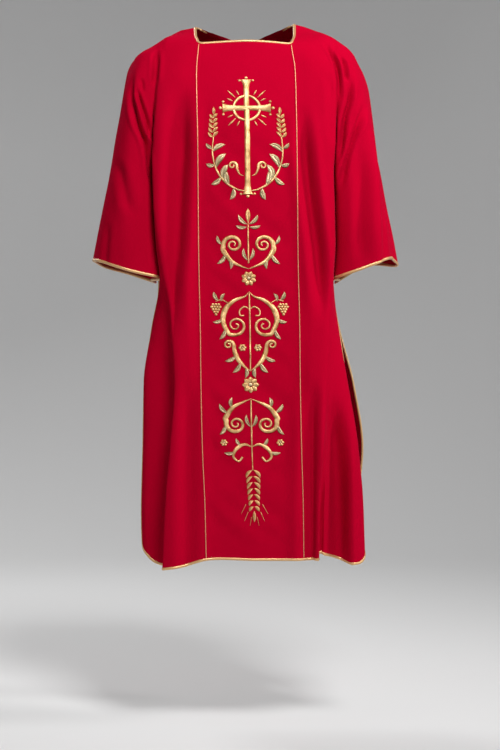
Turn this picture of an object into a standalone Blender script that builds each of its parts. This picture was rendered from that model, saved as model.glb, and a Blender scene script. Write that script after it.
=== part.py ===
"""Dalmatic, kept in its worn form: a hollow cloth shell held at the shoulders.

Metres, +Z up, -Y is the garment's front, +X is the wearer's left.
The origin is the middle of the neck opening, at the height of the shoulder
seams.  Each side of the cloth is a loft.  A table row is one section, from the
centre panel out to the body's side edge (or the valley under the arm), and on
from there round the sleeve to its top seam.
"""
import bpy
import numpy as np

# ---------------------------------------------------------------- sizes
WALL = 0.002             # thickness of the lined cloth
SEAM_GAP = 0.0003        # between two pieces at a seam
BINDING_LIFT = 0.0003    # between a trim and the cloth that it lies on
BINDING_THICK = 0.0011
BINDING_WIDTH = 0.0070   # neck, sleeve hems, sides and hem
BINDING_MITRE = 1.2      # its widths across the mitre at each neck point
PIPING_WIDTH = 0.0036    # along the two seams of the centre panel
PIPING_THICK = 0.0018
PIPING_END_GAP = 0.0008  # to the bindings at its two ends

NECK_LEVEL = 0.057       # nominal level of the front neckline
VALLEY_LEVEL = 0.19      # from here down the valley beside the sleeve is a narrow cleft
UNDERARM_LEVEL = 0.41    # where the side slits begin
CUFF_LEVEL = 0.57        # the sleeve hems
HEM_LEVEL = 1.18
UNDERARM_Y = WALL + SEAM_GAP / 2   # each layer's distance from the mid plane

# Sections that the solids are cut at, by nominal level below the shoulder.
CAP_LEVELS = (0.0, 0.014, 0.028, 0.043)
NECK_LEVELS = (0.057, 0.0645, 0.085, 0.12)
CHEST_LEVELS = (0.155, 0.19, 0.225, 0.26, 0.30, 0.34, 0.375)
SLEEVE_LEVELS = (0.41, 0.42, 0.455, 0.49, 0.53, 0.563, 0.57)
SKIRT_LEVELS = (0.62, 0.68, 0.74, 0.80, 0.87, 0.94, 1.00, 1.06, 1.12, 1.172, 1.18)
LEVELS = np.array(CAP_LEVELS + NECK_LEVELS + CHEST_LEVELS + SLEEVE_LEVELS + SKIRT_LEVELS)


def table(columns, *rows):
    """Named columns of a table whose rows are sections, top to bottom."""
    return dict(zip(columns.split(), np.array(rows, dtype=float).T))


# Centre panel: where its middle and edges run.
PANEL = table(
    "level  centre_x  half    z        centre_y  edge_y",
    (0.057, 0.0006, 0.0985, -0.0565, -0.0980, -0.0900),
    (0.120, 0.0022, 0.1072, -0.1200, -0.1210, -0.1150),
    (0.190, 0.0036, 0.1074, -0.1900, -0.1390, -0.1330),
    (0.260, 0.0052, 0.1070, -0.2600, -0.1480, -0.1420),
    (0.340, 0.0060, 0.1070, -0.3400, -0.1520, -0.1465),
    (0.410, 0.0066, 0.1070, -0.4100, -0.1530, -0.1480),
    (0.490, 0.0072, 0.1070, -0.4900, -0.1530, -0.1490),
    (0.570, 0.0085, 0.1070, -0.5700, -0.1535, -0.1500),
    (0.680, 0.0112, 0.1070, -0.6800, -0.1560, -0.1530),
    (0.800, 0.0125, 0.1068, -0.8000, -0.1590, -0.1565),
    (0.940, 0.0155, 0.1065, -0.9400, -0.1620, -0.1600),
    (1.060, 0.0200, 0.1055, -1.0600, -0.1650, -0.1630),
    (1.180, 0.0222, 0.1048, -1.1780, -0.1680, -0.1660),
)
NECK_BOW = 0.0050        # the middle of the front neckline stands this much higher
NECK_SIDE = (0.1078, -0.0500, -0.0300)   # half way down the neckline's side

# Top seam from the neck point over the shoulder, one profile a side.
SHOULDER = {
    "left": table("x z", (0.1095, 0.0042), (0.139, -0.0040), (0.165, -0.0135),
                  (0.180, -0.0190), (0.196, -0.0262), (0.210, -0.0360),
                  (0.224, -0.0485), (0.237, -0.0635), (0.248, -0.0820)),
    "right": table("x z", (0.1095, -0.0030), (0.143, -0.0095), (0.160, -0.0180),
                   (0.175, -0.0270), (0.201, -0.0425), (0.2215, -0.0555),
                   (0.236, -0.0650), (0.2430, -0.0710), (0.2495, -0.0785)),
}
# Places along that seam where the section columns begin.
SHOULDER_X = {
    "left": dict(mid=0.143, ridge=0.174, tuck=0.186, side=0.195, edge=0.204,
                 inner=0.213, front=0.225, outer=0.2365, seam=0.248),
    "right": dict(mid=0.143, ridge=0.173, tuck=0.185, side=0.195, edge=0.205,
                  inner=0.215, front=0.227, outer=0.2385, seam=0.2495),
}
ARCH_LEVEL = 0.028       # a section half way over the shoulder's arch
ARCH_Y = 0.60            # how far it has gone out, and down
ARCH_Z = 0.27

# Front of the body, outside the centre panel.  Down to the underarm the four
# columns run into the valley beside the sleeve; below it they end at the slit.
FRONT_BODY = {
    "left": table(
        "level  ridge_x ridge_y tuck_x  tuck_y  side_x  side_y  edge_x  edge_y",
        (0.057, 0.1740, -0.082, 0.1830, -0.080, 0.1890, -0.079, 0.1950, -0.077),
        (0.120, 0.1860, -0.107, 0.1910, -0.103, 0.1945, -0.096, 0.1980, -0.088),
        (0.190, 0.1920, -0.121, 0.1965, -0.112, 0.1990, -0.098, 0.2010, -0.083),
        (0.260, 0.1905, -0.129, 0.1950, -0.116, 0.1975, -0.094, 0.1990, -0.068),
        (0.340, 0.1860, -0.134, 0.1910, -0.116, 0.1935, -0.082, 0.1950, -0.042),
        (0.410, 0.1870, -0.136, 0.1930, -0.114, 0.1960, -0.066, 0.1975, -UNDERARM_Y),
        (0.490, 0.1880, -0.139, 0.1930, -0.117, 0.1960, -0.070, 0.1955, -0.020),
        (0.570, 0.1830, -0.143, 0.1880, -0.124, 0.1910, -0.082, 0.1940, -0.026),
        (0.680, 0.1780, -0.149, 0.1880, -0.134, 0.2020, -0.096, 0.2070, -0.036),
        (0.800, 0.1700, -0.156, 0.1840, -0.140, 0.2200, -0.110, 0.2240, -0.046),
        (0.940, 0.1630, -0.162, 0.1720, -0.141, 0.2430, -0.118, 0.2430, -0.055),
        (1.060, 0.1585, -0.166, 0.1640, -0.137, 0.2540, -0.120, 0.2510, -0.060),
        (1.180, 0.1580, -0.168, 0.1610, -0.127, 0.2585, -0.120, 0.2540, -0.064)),
    "right": table(
        "level  ridge_x ridge_y tuck_x  tuck_y  side_x  side_y  edge_x  edge_y",
        (0.057, 0.1730, -0.081, 0.1810, -0.079, 0.1865, -0.078, 0.1920, -0.076),
        (0.120, 0.1830, -0.106, 0.1880, -0.102, 0.1910, -0.095, 0.1940, -0.087),
        (0.190, 0.1890, -0.120, 0.1930, -0.111, 0.1955, -0.097, 0.1975, -0.080),
        (0.260, 0.1920, -0.128, 0.1965, -0.115, 0.1990, -0.092, 0.2005, -0.064),
        (0.340, 0.1940, -0.133, 0.1990, -0.115, 0.2015, -0.081, 0.2030, -0.040),
        (0.410, 0.1920, -0.136, 0.1960, -0.114, 0.1970, -0.066, 0.2010, -UNDERARM_Y),
        (0.490, 0.1830, -0.141, 0.1890, -0.119, 0.1940, -0.072, 0.1960, -0.020),
        (0.570, 0.1710, -0.147, 0.1770, -0.127, 0.1840, -0.080, 0.1900, -0.026),
        (0.680, 0.1560, -0.153, 0.1640, -0.131, 0.2000, -0.087, 0.2060, -0.038),
        (0.800, 0.1500, -0.156, 0.1520, -0.121, 0.2170, -0.094, 0.2230, -0.050),
        (0.940, 0.1600, -0.158, 0.1500, -0.114, 0.2180, -0.090, 0.2260, -0.056),
        (1.060, 0.1700, -0.160, 0.1550, -0.112, 0.2200, -0.086, 0.2290, -0.058),
        (1.180, 0.1780, -0.162, 0.1640, -0.115, 0.2160, -0.086, 0.2280, -0.060)),
}
# How far the front hem hangs below its panel's hem (minus: above).
FRONT_HEM = {
    "left": dict(mid=-0.001, ridge=0.000, tuck=-0.009, side=0.004, edge=-0.040),
    "right": dict(mid=0.014, ridge=0.021, tuck=0.018, side=-0.012, edge=-0.052),
}

# Front of each sleeve, from the valley or the underarm seam to the top seam.
FRONT_SLEEVE = {
    "left": table(
        "level  under_x inner_x inner_y front_x front_y outer_x outer_y",
        (0.057, 0.1950, 0.2060, -0.076, 0.2270, -0.070, 0.2450, -0.050),
        (0.120, 0.1980, 0.2110, -0.094, 0.2380, -0.090, 0.2610, -0.060),
        (0.190, 0.2010, 0.2110, -0.104, 0.2440, -0.103, 0.2710, -0.070),
        (0.260, 0.1990, 0.2100, -0.110, 0.2490, -0.113, 0.2790, -0.080),
        (0.340, 0.1950, 0.2070, -0.113, 0.2520, -0.119, 0.2880, -0.088),
        (0.410, 0.1975, 0.2065, -0.112, 0.2550, -0.123, 0.2950, -0.094),
        (0.490, 0.2110, 0.2050, -0.105, 0.2600, -0.125, 0.3050, -0.098),
        (0.570, 0.2090, 0.1980, -0.097, 0.2600, -0.123, 0.3100, -0.094)),
    "right": table(
        "level  under_x inner_x inner_y front_x front_y outer_x outer_y",
        (0.057, 0.1920, 0.2030, -0.075, 0.2260, -0.068, 0.2450, -0.048),
        (0.120, 0.1940, 0.2070, -0.093, 0.2370, -0.089, 0.2590, -0.057),
        (0.190, 0.1975, 0.2080, -0.102, 0.2420, -0.101, 0.2670, -0.065),
        (0.260, 0.2005, 0.2100, -0.108, 0.2480, -0.110, 0.2770, -0.070),
        (0.340, 0.2030, 0.2130, -0.111, 0.2550, -0.116, 0.2890, -0.074),
        (0.410, 0.2010, 0.2120, -0.110, 0.2590, -0.120, 0.2990, -0.078),
        (0.490, 0.2110, 0.1980, -0.104, 0.2570, -0.122, 0.3080, -0.080),
        (0.570, 0.2080, 0.1870, -0.098, 0.2550, -0.120, 0.3170, -0.078)),
}
# How far the back of a sleeve hem hangs below its top seam's end.
CUFF_SAG = {("left", 1): 0.017, ("right", 1): 0.004, ("left", -1): 0.0, ("right", -1): 0.0}
CUFF_SAG_FROM = 0.34
# Top seam of each sleeve below the shoulder.
SLEEVE_SEAM = {
    "left": table(
        "level  x       y       z",
        (0.000, 0.2480, 0.000, -0.0820),
        (0.028, 0.2560, 0.000, -0.0955),
        (0.057, 0.2640, 0.000, -0.1100),
        (0.120, 0.2760, -0.002, -0.1460),
        (0.190, 0.2830, -0.007, -0.1950),
        (0.260, 0.2900, -0.014, -0.2600),
        (0.340, 0.2980, -0.022, -0.3350),
        (0.410, 0.3050, -0.028, -0.3970),
        (0.490, 0.3160, -0.032, -0.4550),
        (0.570, 0.3255, -0.034, -0.5153)),
    "right": table(
        "level  x       y       z",
        (0.000, 0.2495, 0.000, -0.0785),
        (0.028, 0.2570, 0.000, -0.0900),
        (0.057, 0.2635, 0.000, -0.1060),
        (0.120, 0.2712, 0.002, -0.1480),
        (0.190, 0.2790, 0.004, -0.1970),
        (0.260, 0.2900, 0.006, -0.2550),
        (0.340, 0.3035, 0.008, -0.3350),
        (0.410, 0.3150, 0.009, -0.3950),
        (0.490, 0.3270, 0.010, -0.4600),
        (0.570, 0.3395, 0.010, -0.5250)),
}

# Back: one table for both sides; only the slit edge differs.
BACK_NECK_Y = 0.074
BACK_NECK_DROP = 0.024
BACK_NECK_SPREAD = 0.85  # spaces the columns evenly along the neckline's curve
BACK_BODY = table(
    "level  centre_y point_x point_y ridge_x ridge_y side_x side_y edge_x edge_y",
    (0.057, 0.1000, 0.138, 0.090, 0.1700, 0.083, 0.1840, 0.078, 0.1930, 0.074),
    (0.120, 0.1170, 0.134, 0.112, 0.1820, 0.103, 0.1910, 0.092, 0.1960, 0.080),
    (0.190, 0.1270, 0.126, 0.126, 0.1890, 0.113, 0.1965, 0.094, 0.1990, 0.072),
    (0.260, 0.1300, 0.118, 0.131, 0.1900, 0.117, 0.1970, 0.092, 0.1990, 0.058),
    (0.340, 0.1290, 0.112, 0.131, 0.1880, 0.118, 0.1950, 0.082, 0.1985, 0.036),
    (0.410, 0.1280, 0.108, 0.130, 0.1860, 0.118, 0.1950, 0.068, 0.1995, UNDERARM_Y),
    (0.490, 0.1300, 0.106, 0.132, 0.1850, 0.119, 0.1960, 0.070, 0.1965, 0.020),
    (0.570, 0.1330, 0.108, 0.136, 0.1840, 0.122, 0.1930, 0.075, 0.1950, 0.026),
    (0.680, 0.1390, 0.112, 0.142, 0.1890, 0.127, 0.2040, 0.082, 0.2060, 0.033),
    (0.800, 0.1460, 0.116, 0.148, 0.1960, 0.132, 0.2190, 0.088, 0.2200, 0.040),
    (0.940, 0.1540, 0.120, 0.155, 0.2000, 0.137, 0.2220, 0.093, 0.2230, 0.046),
    (1.060, 0.1590, 0.122, 0.160, 0.2030, 0.141, 0.2240, 0.096, 0.2240, 0.050),
    (1.180, 0.1630, 0.124, 0.164, 0.2050, 0.144, 0.2240, 0.098, 0.2230, 0.052),
)
# The wearer's left slit edge of the back stands out past the front.
BACK_EDGE_OUT = {
    "left": table("level out", (0.57, 0.000), (0.68, 0.010), (0.80, 0.026), (0.87, 0.037),
                  (0.94, 0.044), (1.00, 0.040), (1.06, 0.030), (1.18, 0.016)),
    "right": table("level out", (0.57, 0.000), (1.18, 0.000)),
}
BACK_HEM = dict(mid=0.003, point=0.002, ridge=0.002, side=0.000, edge=-0.040)
BACK_SLEEVE = {
    "left": table(
        "level  under_x inner_x inner_y front_x front_y outer_x outer_y",
        (0.057, 0.1930, 0.2040, 0.073, 0.2280, 0.066, 0.2470, 0.046),
        (0.120, 0.1960, 0.2080, 0.088, 0.2400, 0.082, 0.2640, 0.052),
        (0.190, 0.1990, 0.2090, 0.096, 0.2470, 0.092, 0.2780, 0.056),
        (0.260, 0.1990, 0.2095, 0.099, 0.2540, 0.096, 0.2890, 0.052),
        (0.340, 0.1985, 0.2110, 0.098, 0.2620, 0.096, 0.3060, 0.046),
        (0.410, 0.1995, 0.2120, 0.094, 0.2690, 0.094, 0.3180, 0.042),
        (0.490, 0.2110, 0.2080, 0.086, 0.2750, 0.090, 0.3300, 0.038),
        (0.570, 0.2090, 0.2070, 0.078, 0.2800, 0.088, 0.3420, 0.034)),
    "right": table(
        "level  under_x inner_x inner_y front_x front_y outer_x outer_y",
        (0.057, 0.1930, 0.2030, 0.073, 0.2270, 0.066, 0.2450, 0.046),
        (0.120, 0.1960, 0.2070, 0.088, 0.2380, 0.082, 0.2600, 0.056),
        (0.190, 0.1990, 0.2090, 0.096, 0.2430, 0.093, 0.2680, 0.064),
        (0.260, 0.1990, 0.2100, 0.099, 0.2490, 0.099, 0.2780, 0.070),
        (0.340, 0.1985, 0.2120, 0.098, 0.2560, 0.102, 0.2900, 0.074),
        (0.410, 0.1995, 0.2130, 0.094, 0.2620, 0.103, 0.3000, 0.076),
        (0.490, 0.2110, 0.2080, 0.087, 0.2650, 0.101, 0.3100, 0.076),
        (0.570, 0.2080, 0.2060, 0.080, 0.2680, 0.098, 0.3190, 0.074)),
}

# Folds pressed into the front (side -1) and the back (side +1).  A path runs
# through three places given as across and height; depth below zero is a ridge.
FOLDS = table(
    "face  x1      z1      x2      z2      x3      z3      depth   width",
    # valleys that run down from the shoulders into the two sleeves
    (-1, -0.236, -0.145, -0.226, -0.180, -0.209, -0.250, 0.0090, 0.0060),
    (-1, -0.248, -0.125, -0.242, -0.145, -0.232, -0.175, 0.0070, 0.0060),
    (-1, 0.228, -0.165, 0.221, -0.225, 0.204, -0.330, 0.0090, 0.0065),
    (-1, 0.240, -0.250, 0.224, -0.305, 0.200, -0.390, 0.0090, 0.0075),
    (-1, 0.246, -0.370, 0.243, -0.430, 0.238, -0.500, 0.0060, 0.0110),
    (-1, -0.270, -0.350, -0.263, -0.385, -0.252, -0.430, 0.0050, 0.0110),
    # long shallow troughs of the body beside the panel
    (-1, -0.132, -0.200, -0.136, -0.370, -0.152, -0.700, 0.0060, 0.0120),
    (-1, 0.139, -0.260, 0.150, -0.400, 0.172, -0.600, 0.0060, 0.0110),
    (-1, -0.120, -0.800, -0.119, -0.950, -0.121, -1.210, 0.0050, 0.0110),
    # lower left: two soft ridges and the valley between them
    (-1, 0.196, -0.860, 0.201, -1.000, 0.205, -1.210, 0.0120, 0.0120),
    (-1, 0.228, -0.900, 0.231, -1.050, 0.233, -1.210, -0.0060, 0.0100),
    (-1, 0.180, -0.960, 0.182, -1.080, 0.182, -1.210, -0.0050, 0.0080),
    # back: valleys from the shoulders and long hanging folds
    (1, -0.236, -0.150, -0.226, -0.200, -0.207, -0.290, 0.0080, 0.0080),
    (1, 0.236, -0.155, 0.225, -0.215, 0.206, -0.310, 0.0080, 0.0080),
    (1, -0.060, -0.280, -0.066, -0.600, -0.078, -1.210, 0.0120, 0.0200),
    (1, 0.050, -0.240, 0.060, -0.640, 0.066, -1.210, 0.0110, 0.0190),
    (1, -0.140, -0.360, -0.148, -0.700, -0.160, -1.210, 0.0120, 0.0180),
    (1, 0.136, -0.400, 0.146, -0.760, 0.158, -1.210, 0.0120, 0.0170),
    (1, -0.004, -0.620, -0.006, -0.850, -0.008, -1.210, -0.0060, 0.0180),
)
FOLD_FADE = 0.28         # share of a fold's length that it fades over, each end

# Columns between two knots of a section, from the middle out.
PANEL_STEPS = 3
FRONT_STEPS = (3, 3, 2, 3, 2)        # panel, mid, ridge, tuck, side, edge
BACK_STEPS = (3, 3, 3, 2, 2)         # centre, mid, point, ridge, side, edge
SLEEVE_STEPS = (2, 3, 3, 2)          # under, inner, front, outer, seam

RED = (0.58, 0.008, 0.032, 1.0)
GOLD = (0.62, 0.40, 0.14, 1.0)


# ---------------------------------------------------------------- curves
def slopes(x, v):
    """Slopes that keep a curve through the rows free of overshoot."""
    h = np.diff(x)
    d = np.diff(v) / h
    m = np.empty_like(v)
    m[0], m[-1] = d[0], d[-1]
    for i in range(1, len(v) - 1):
        a, b = d[i - 1], d[i]
        wa, wb = 2 * h[i] + h[i - 1], h[i] + 2 * h[i - 1]
        m[i] = (wa + wb) / (wa / a + wb / b) if a * b > 0 else 0.0
    return m


def follow(x, v, at):
    """Smooth curve through the rows (x, v), read at each value of at."""
    x, v, at = np.asarray(x, float), np.asarray(v, float), np.asarray(at, float)
    m = slopes(x, v)
    i = np.clip(np.searchsorted(x, at, side="right") - 1, 0, len(x) - 2)
    h = x[i + 1] - x[i]
    t = np.clip((at - x[i]) / h, 0.0, 1.0)
    return ((2 * t**3 - 3 * t**2 + 1) * v[i] + (t**3 - 2 * t**2 + t) * h * m[i]
            + (3 * t**2 - 2 * t**3) * v[i + 1] + (t**3 - t**2) * h * m[i + 1])


def across(knots, steps):
    """Smooth curve through each section's knots, with steps between them.

    knots is (rows, knots, 3); the result is (rows, columns, 3).
    """
    gap = np.sqrt(np.linalg.norm(np.diff(knots, axis=1), axis=2)) + 1e-6
    span = np.diff(knots, axis=1) / gap[..., None]
    tangent = np.empty_like(knots)
    tangent[:, 0], tangent[:, -1] = span[:, 0], span[:, -1]
    before, after = gap[:, :-1, None], gap[:, 1:, None]
    tangent[:, 1:-1] = (span[:, :-1] * after + span[:, 1:] * before) / (before + after)
    columns = [knots[:, :1]]
    for k, count in enumerate(steps):
        for t in np.arange(1, count + 1) / count:
            h = gap[:, k, None]
            point = ((2 * t**3 - 3 * t**2 + 1) * knots[:, k]
                     + (t**3 - 2 * t**2 + t) * h * tangent[:, k]
                     + (3 * t**2 - 2 * t**3) * knots[:, k + 1]
                     + (t**3 - t**2) * h * tangent[:, k + 1])
            columns.append(point[:, None])
    return np.concatenate(columns, axis=1)


# ---------------------------------------------------------------- sections
CAP = (0.0, ARCH_LEVEL)
SIGN = {"left": 1.0, "right": -1.0}


def over_shoulder(top, first):
    """The section half way over the arch, between the top seam and the first row."""
    return (0.5 * (top[0] + first[0]), top[1] + ARCH_Y * (first[1] - top[1]),
            top[2] + ARCH_Z * (first[2] - top[2]))


def column(levels, points, at):
    """One column of the loft: smooth through its table points, read at levels."""
    points = np.array(points, dtype=float)
    return np.stack([follow(levels, points[:, k], at) for k in range(3)], axis=1)


def seam_z(side, level):
    return follow(SLEEVE_SEAM[side]["level"], SLEEVE_SEAM[side]["z"], level)


def seam_x(side, level):
    return follow(SLEEVE_SEAM[side]["level"], SLEEVE_SEAM[side]["x"], level)


def shoulder_point(side, x):
    z = np.interp(x, SHOULDER[side]["x"], SHOULDER[side]["z"])
    return (x, 0.0, float(z))


def body_height(side, x, level, drop, corner):
    """Height of a body knot: rows slope down to the sleeve only at the shoulder."""
    if level == NECK_LEVEL:
        corner_x, corner_z = corner
        q = np.clip((x - corner_x) / (seam_x(side, level) - corner_x), 0, 1) ** 2
        return corner_z + (seam_z(side, level) - corner_z) * q
    if level == HEM_LEVEL:
        return PANEL["z"][-1] - drop
    return -level


def body_column(side, rows, knot, drop, corner, at):
    top = shoulder_point(side, SHOULDER_X[side][knot])
    points = [(x, y, body_height(side, x, level, drop, corner))
              for level, x, y in zip(rows["level"], rows[knot + "_x"], rows[knot + "_y"])]
    return column([*CAP, *rows["level"]], [top, over_shoulder(top, points[0]), *points], at)


def sleeve_columns(side, face, rows, start, at):
    """The sleeve's four columns beyond its underarm column (start: its own points)."""
    out = []
    level = rows["level"]
    power = np.interp(level, (0.12, CUFF_LEVEL), (2.0, 1.0))
    for knot in ("inner", "front", "outer"):
        top = shoulder_point(side, SHOULDER_X[side][knot])
        points = []
        for i, row in enumerate(level):
            x, under, far = rows[knot + "_x"][i], start[i][0], seam_x(side, row)
            q = np.clip((x - under) / (far - under), 0.0, 1.0) ** power[i]
            z = start[i][2] + (seam_z(side, row) - start[i][2]) * q
            sag = np.clip((row - CUFF_SAG_FROM) / (CUFF_LEVEL - CUFF_SAG_FROM), 0.0, 1.0)
            z -= CUFF_SAG[side, face] * sag * float(knot == "outer")
            points.append((x, rows[knot + "_y"][i], z))
        out.append(column([*CAP, *level], [top, over_shoulder(top, points[0]), *points], at))
    seam = SLEEVE_SEAM[side]
    points = np.stack([seam["x"], seam["y"] + face * SEAM_GAP / 2, seam["z"]], axis=1)
    out.append(column(seam["level"], points, at))
    return out


def mirrored(columns, side):
    return [c * (SIGN[side], 1.0, 1.0) for c in columns]


def side_knots(side, face, body, hem, names, corner, sleeve, at):
    """All knots of one side: (body columns, sleeve columns with their own start)."""
    columns = [body_column(side, body, name, hem[name], corner, at) for name in names]
    edge = columns[-1]
    level = sleeve["level"]
    start = [(x, face * UNDERARM_Y, min(-row, body_height(side, x, row, 0.0, corner)))
             for row, x in zip(level, sleeve["under_x"])]
    cuff = at[at <= CUFF_LEVEL]
    under = np.stack([follow(level, sleeve["under_x"], cuff),
                      np.full(len(cuff), face * SEAM_GAP / 2),
                      -np.minimum(cuff, CUFF_LEVEL)], axis=1)
    joined = cuff <= UNDERARM_LEVEL
    under[joined] = edge[:len(cuff)][joined]
    arm = [under, *sleeve_columns(side, face, sleeve, start, cuff)]
    return columns, arm


def front_knots(side, at):
    corner = (PANEL["half"][0], PANEL["z"][0])
    columns, arm = side_knots(side, -1, FRONT_BODY[side], FRONT_HEM[side],
                              ("ridge", "tuck", "side", "edge"), corner,
                              FRONT_SLEEVE[side], at)
    neck = (SHOULDER[side]["x"][0], 0.0, SHOULDER[side]["z"][0])
    line = [(SIGN[side] * c + h, y, z) for c, h, y, z in
            zip(PANEL["centre_x"], PANEL["half"], PANEL["edge_y"], PANEL["z"])]
    panel = column([*CAP, *PANEL["level"]], [neck, NECK_SIDE, *line], at)
    mid = 0.5 * (panel + columns[0])
    mid[:, 1] -= 0.004 * np.clip(at / 0.12, 0, 1)
    mid[:, 2] -= FRONT_HEM[side]["mid"] * np.clip((at - 1.06) / 0.12, 0, 1) ** 2
    mid[:, 2] += 0.5 * FRONT_HEM[side]["ridge"] * np.clip((at - 1.06) / 0.12, 0, 1) ** 2
    return mirrored([panel, mid, *columns], side), mirrored(arm, side)


def back_knots(side, at):
    corner = (0.0, -0.068)
    rows = dict(BACK_BODY)
    out = follow(BACK_EDGE_OUT[side]["level"], BACK_EDGE_OUT[side]["out"], rows["level"])
    rows["edge_x"] = rows["edge_x"] + out
    rows["side_x"] = rows["side_x"] + 0.7 * out
    columns, arm = side_knots(side, 1, rows, BACK_HEM, ("ridge", "side", "edge"), corner,
                              BACK_SLEEVE[side], at)
    neck = (SHOULDER[side]["x"][0], 0.0, SHOULDER[side]["z"][0])
    points = [(x, y, body_height(side, x, row, BACK_HEM["point"], corner)) for row, x, y in
              zip(rows["level"], rows["point_x"], rows["point_y"])]
    point = column([*CAP, *rows["level"]], [neck, over_shoulder(neck, points[0]), *points], at)
    top = (0.0, BACK_NECK_Y, -BACK_NECK_DROP)
    middle = [(0.0, y, body_height(side, 0.0, row, BACK_HEM["mid"], corner))
              for row, y in zip(rows["level"], rows["centre_y"])]
    centre = column([0.0, *rows["level"]], [top, *middle], at)
    half = 0.5 * (centre + point)
    return mirrored([centre, half, point, *columns], side), mirrored(arm, side)


# ---------------------------------------------------------------- the cloth as one mesh
class Cloth:
    """Points, quads and outward normals of the whole garment's outer face."""

    def __init__(self):
        self.points = []
        self.quads = []          # (corner indices, piece name, zone)
        self.locked = {}         # point -> axis that its normal must not lean along
        self.valleys = []        # points at the bottom of a valley beside a sleeve
        self.corners = {}        # sharp corner point -> its two neighbours on the seam
        self.twin = {}           # back seam point -> front seam point
        self.face = []           # -1 on the front, +1 on the back

    def add(self, point, face):
        self.points.append(np.array(point, dtype=float))
        self.face.append(face)
        return len(self.points) - 1

    def grid(self, points, face):
        """Index grid of the points, -1 where there is no cloth."""
        index = np.full(points.shape[:2], -1)
        for i in range(points.shape[0]):
            for j in range(points.shape[1]):
                if not np.isnan(points[i, j, 0]):
                    index[i, j] = self.add(points[i, j], face)
        return index

    def cover(self, index, piece, flip, zone, turned=lambda i, j: False):
        """Quads over an index grid; piece, zone and turned (which says that the quad is
        split along its other diagonal) are functions of row and column."""
        for i in range(index.shape[0] - 1):
            for j in range(index.shape[1] - 1):
                corners = [index[i, j], index[i + 1, j], index[i + 1, j + 1], index[i, j + 1]]
                if min(corners) < 0:
                    continue
                if flip:
                    corners = [corners[0], corners[3], corners[2], corners[1]]
                if turned(i, j):
                    corners = corners[1:] + corners[:1]
                self.quads.append((corners, piece(i, j), zone(i, j)))

    def finish(self):
        self.points = np.array(self.points)
        self.normals = self.face_normals()
        self.press_folds()
        self.normals = self.face_normals()
        self.free_normals = self.normals.copy()
        for point, axis in self.locked.items():
            self.normals[point, axis] = 0.0
            self.normals[point] /= np.linalg.norm(self.normals[point])
        for point in self.valleys:
            self.normals[point] = (0.0, self.face[point], 0.0)
        for point, (before, after) in self.corners.items():
            normal = self.normals[before] + self.normals[after]
            self.normals[point] = normal / np.linalg.norm(normal)

    def face_normals(self):
        normals = np.zeros_like(self.points)
        for corners, _, _ in self.quads:
            a, b, c, d = self.points[corners]
            normal = np.cross(c - a, d - b)
            normals[corners] += normal / np.linalg.norm(normal)
        return normals / np.linalg.norm(normals, axis=1)[:, None]

    def press_folds(self):
        """Troughs and ridges of the fold table, pressed in along the normals."""
        x, z = self.points[:, 0].copy(), self.points[:, 2].copy()
        face = np.array(self.face)
        free = np.ones(len(x))
        free[list(self.locked)] = 0.0
        for face_of, x1, z1, x2, z2, x3, z3, depth, width in zip(*FOLDS.values()):
            path = np.interp(z, (z3, z2, z1), (x3, x2, x1))
            run = (z1 - z) / (z1 - z3)
            fade = smooth(run / FOLD_FADE)
            if z3 > -HEM_LEVEL:
                fade = fade * smooth((1 - run) / FOLD_FADE)
            push = depth * np.exp(-((x - path) / width) ** 2) * fade * free
            push *= (face == face_of) * np.clip(-1.5 * face_of * -self.normals[:, 1], 0, 1)
            self.points -= self.normals * push[:, None]


def smooth(t):
    t = np.clip(t, 0.0, 1.0)
    return t * t * (3 - 2 * t)


def inset(points, edge, inner):
    """Move the line next to a bound edge to the binding's width from it."""
    away = points[inner] - points[edge]
    length = np.linalg.norm(away, axis=-1)[..., None]
    points[inner] = points[edge] + away / length * BINDING_WIDTH


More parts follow.
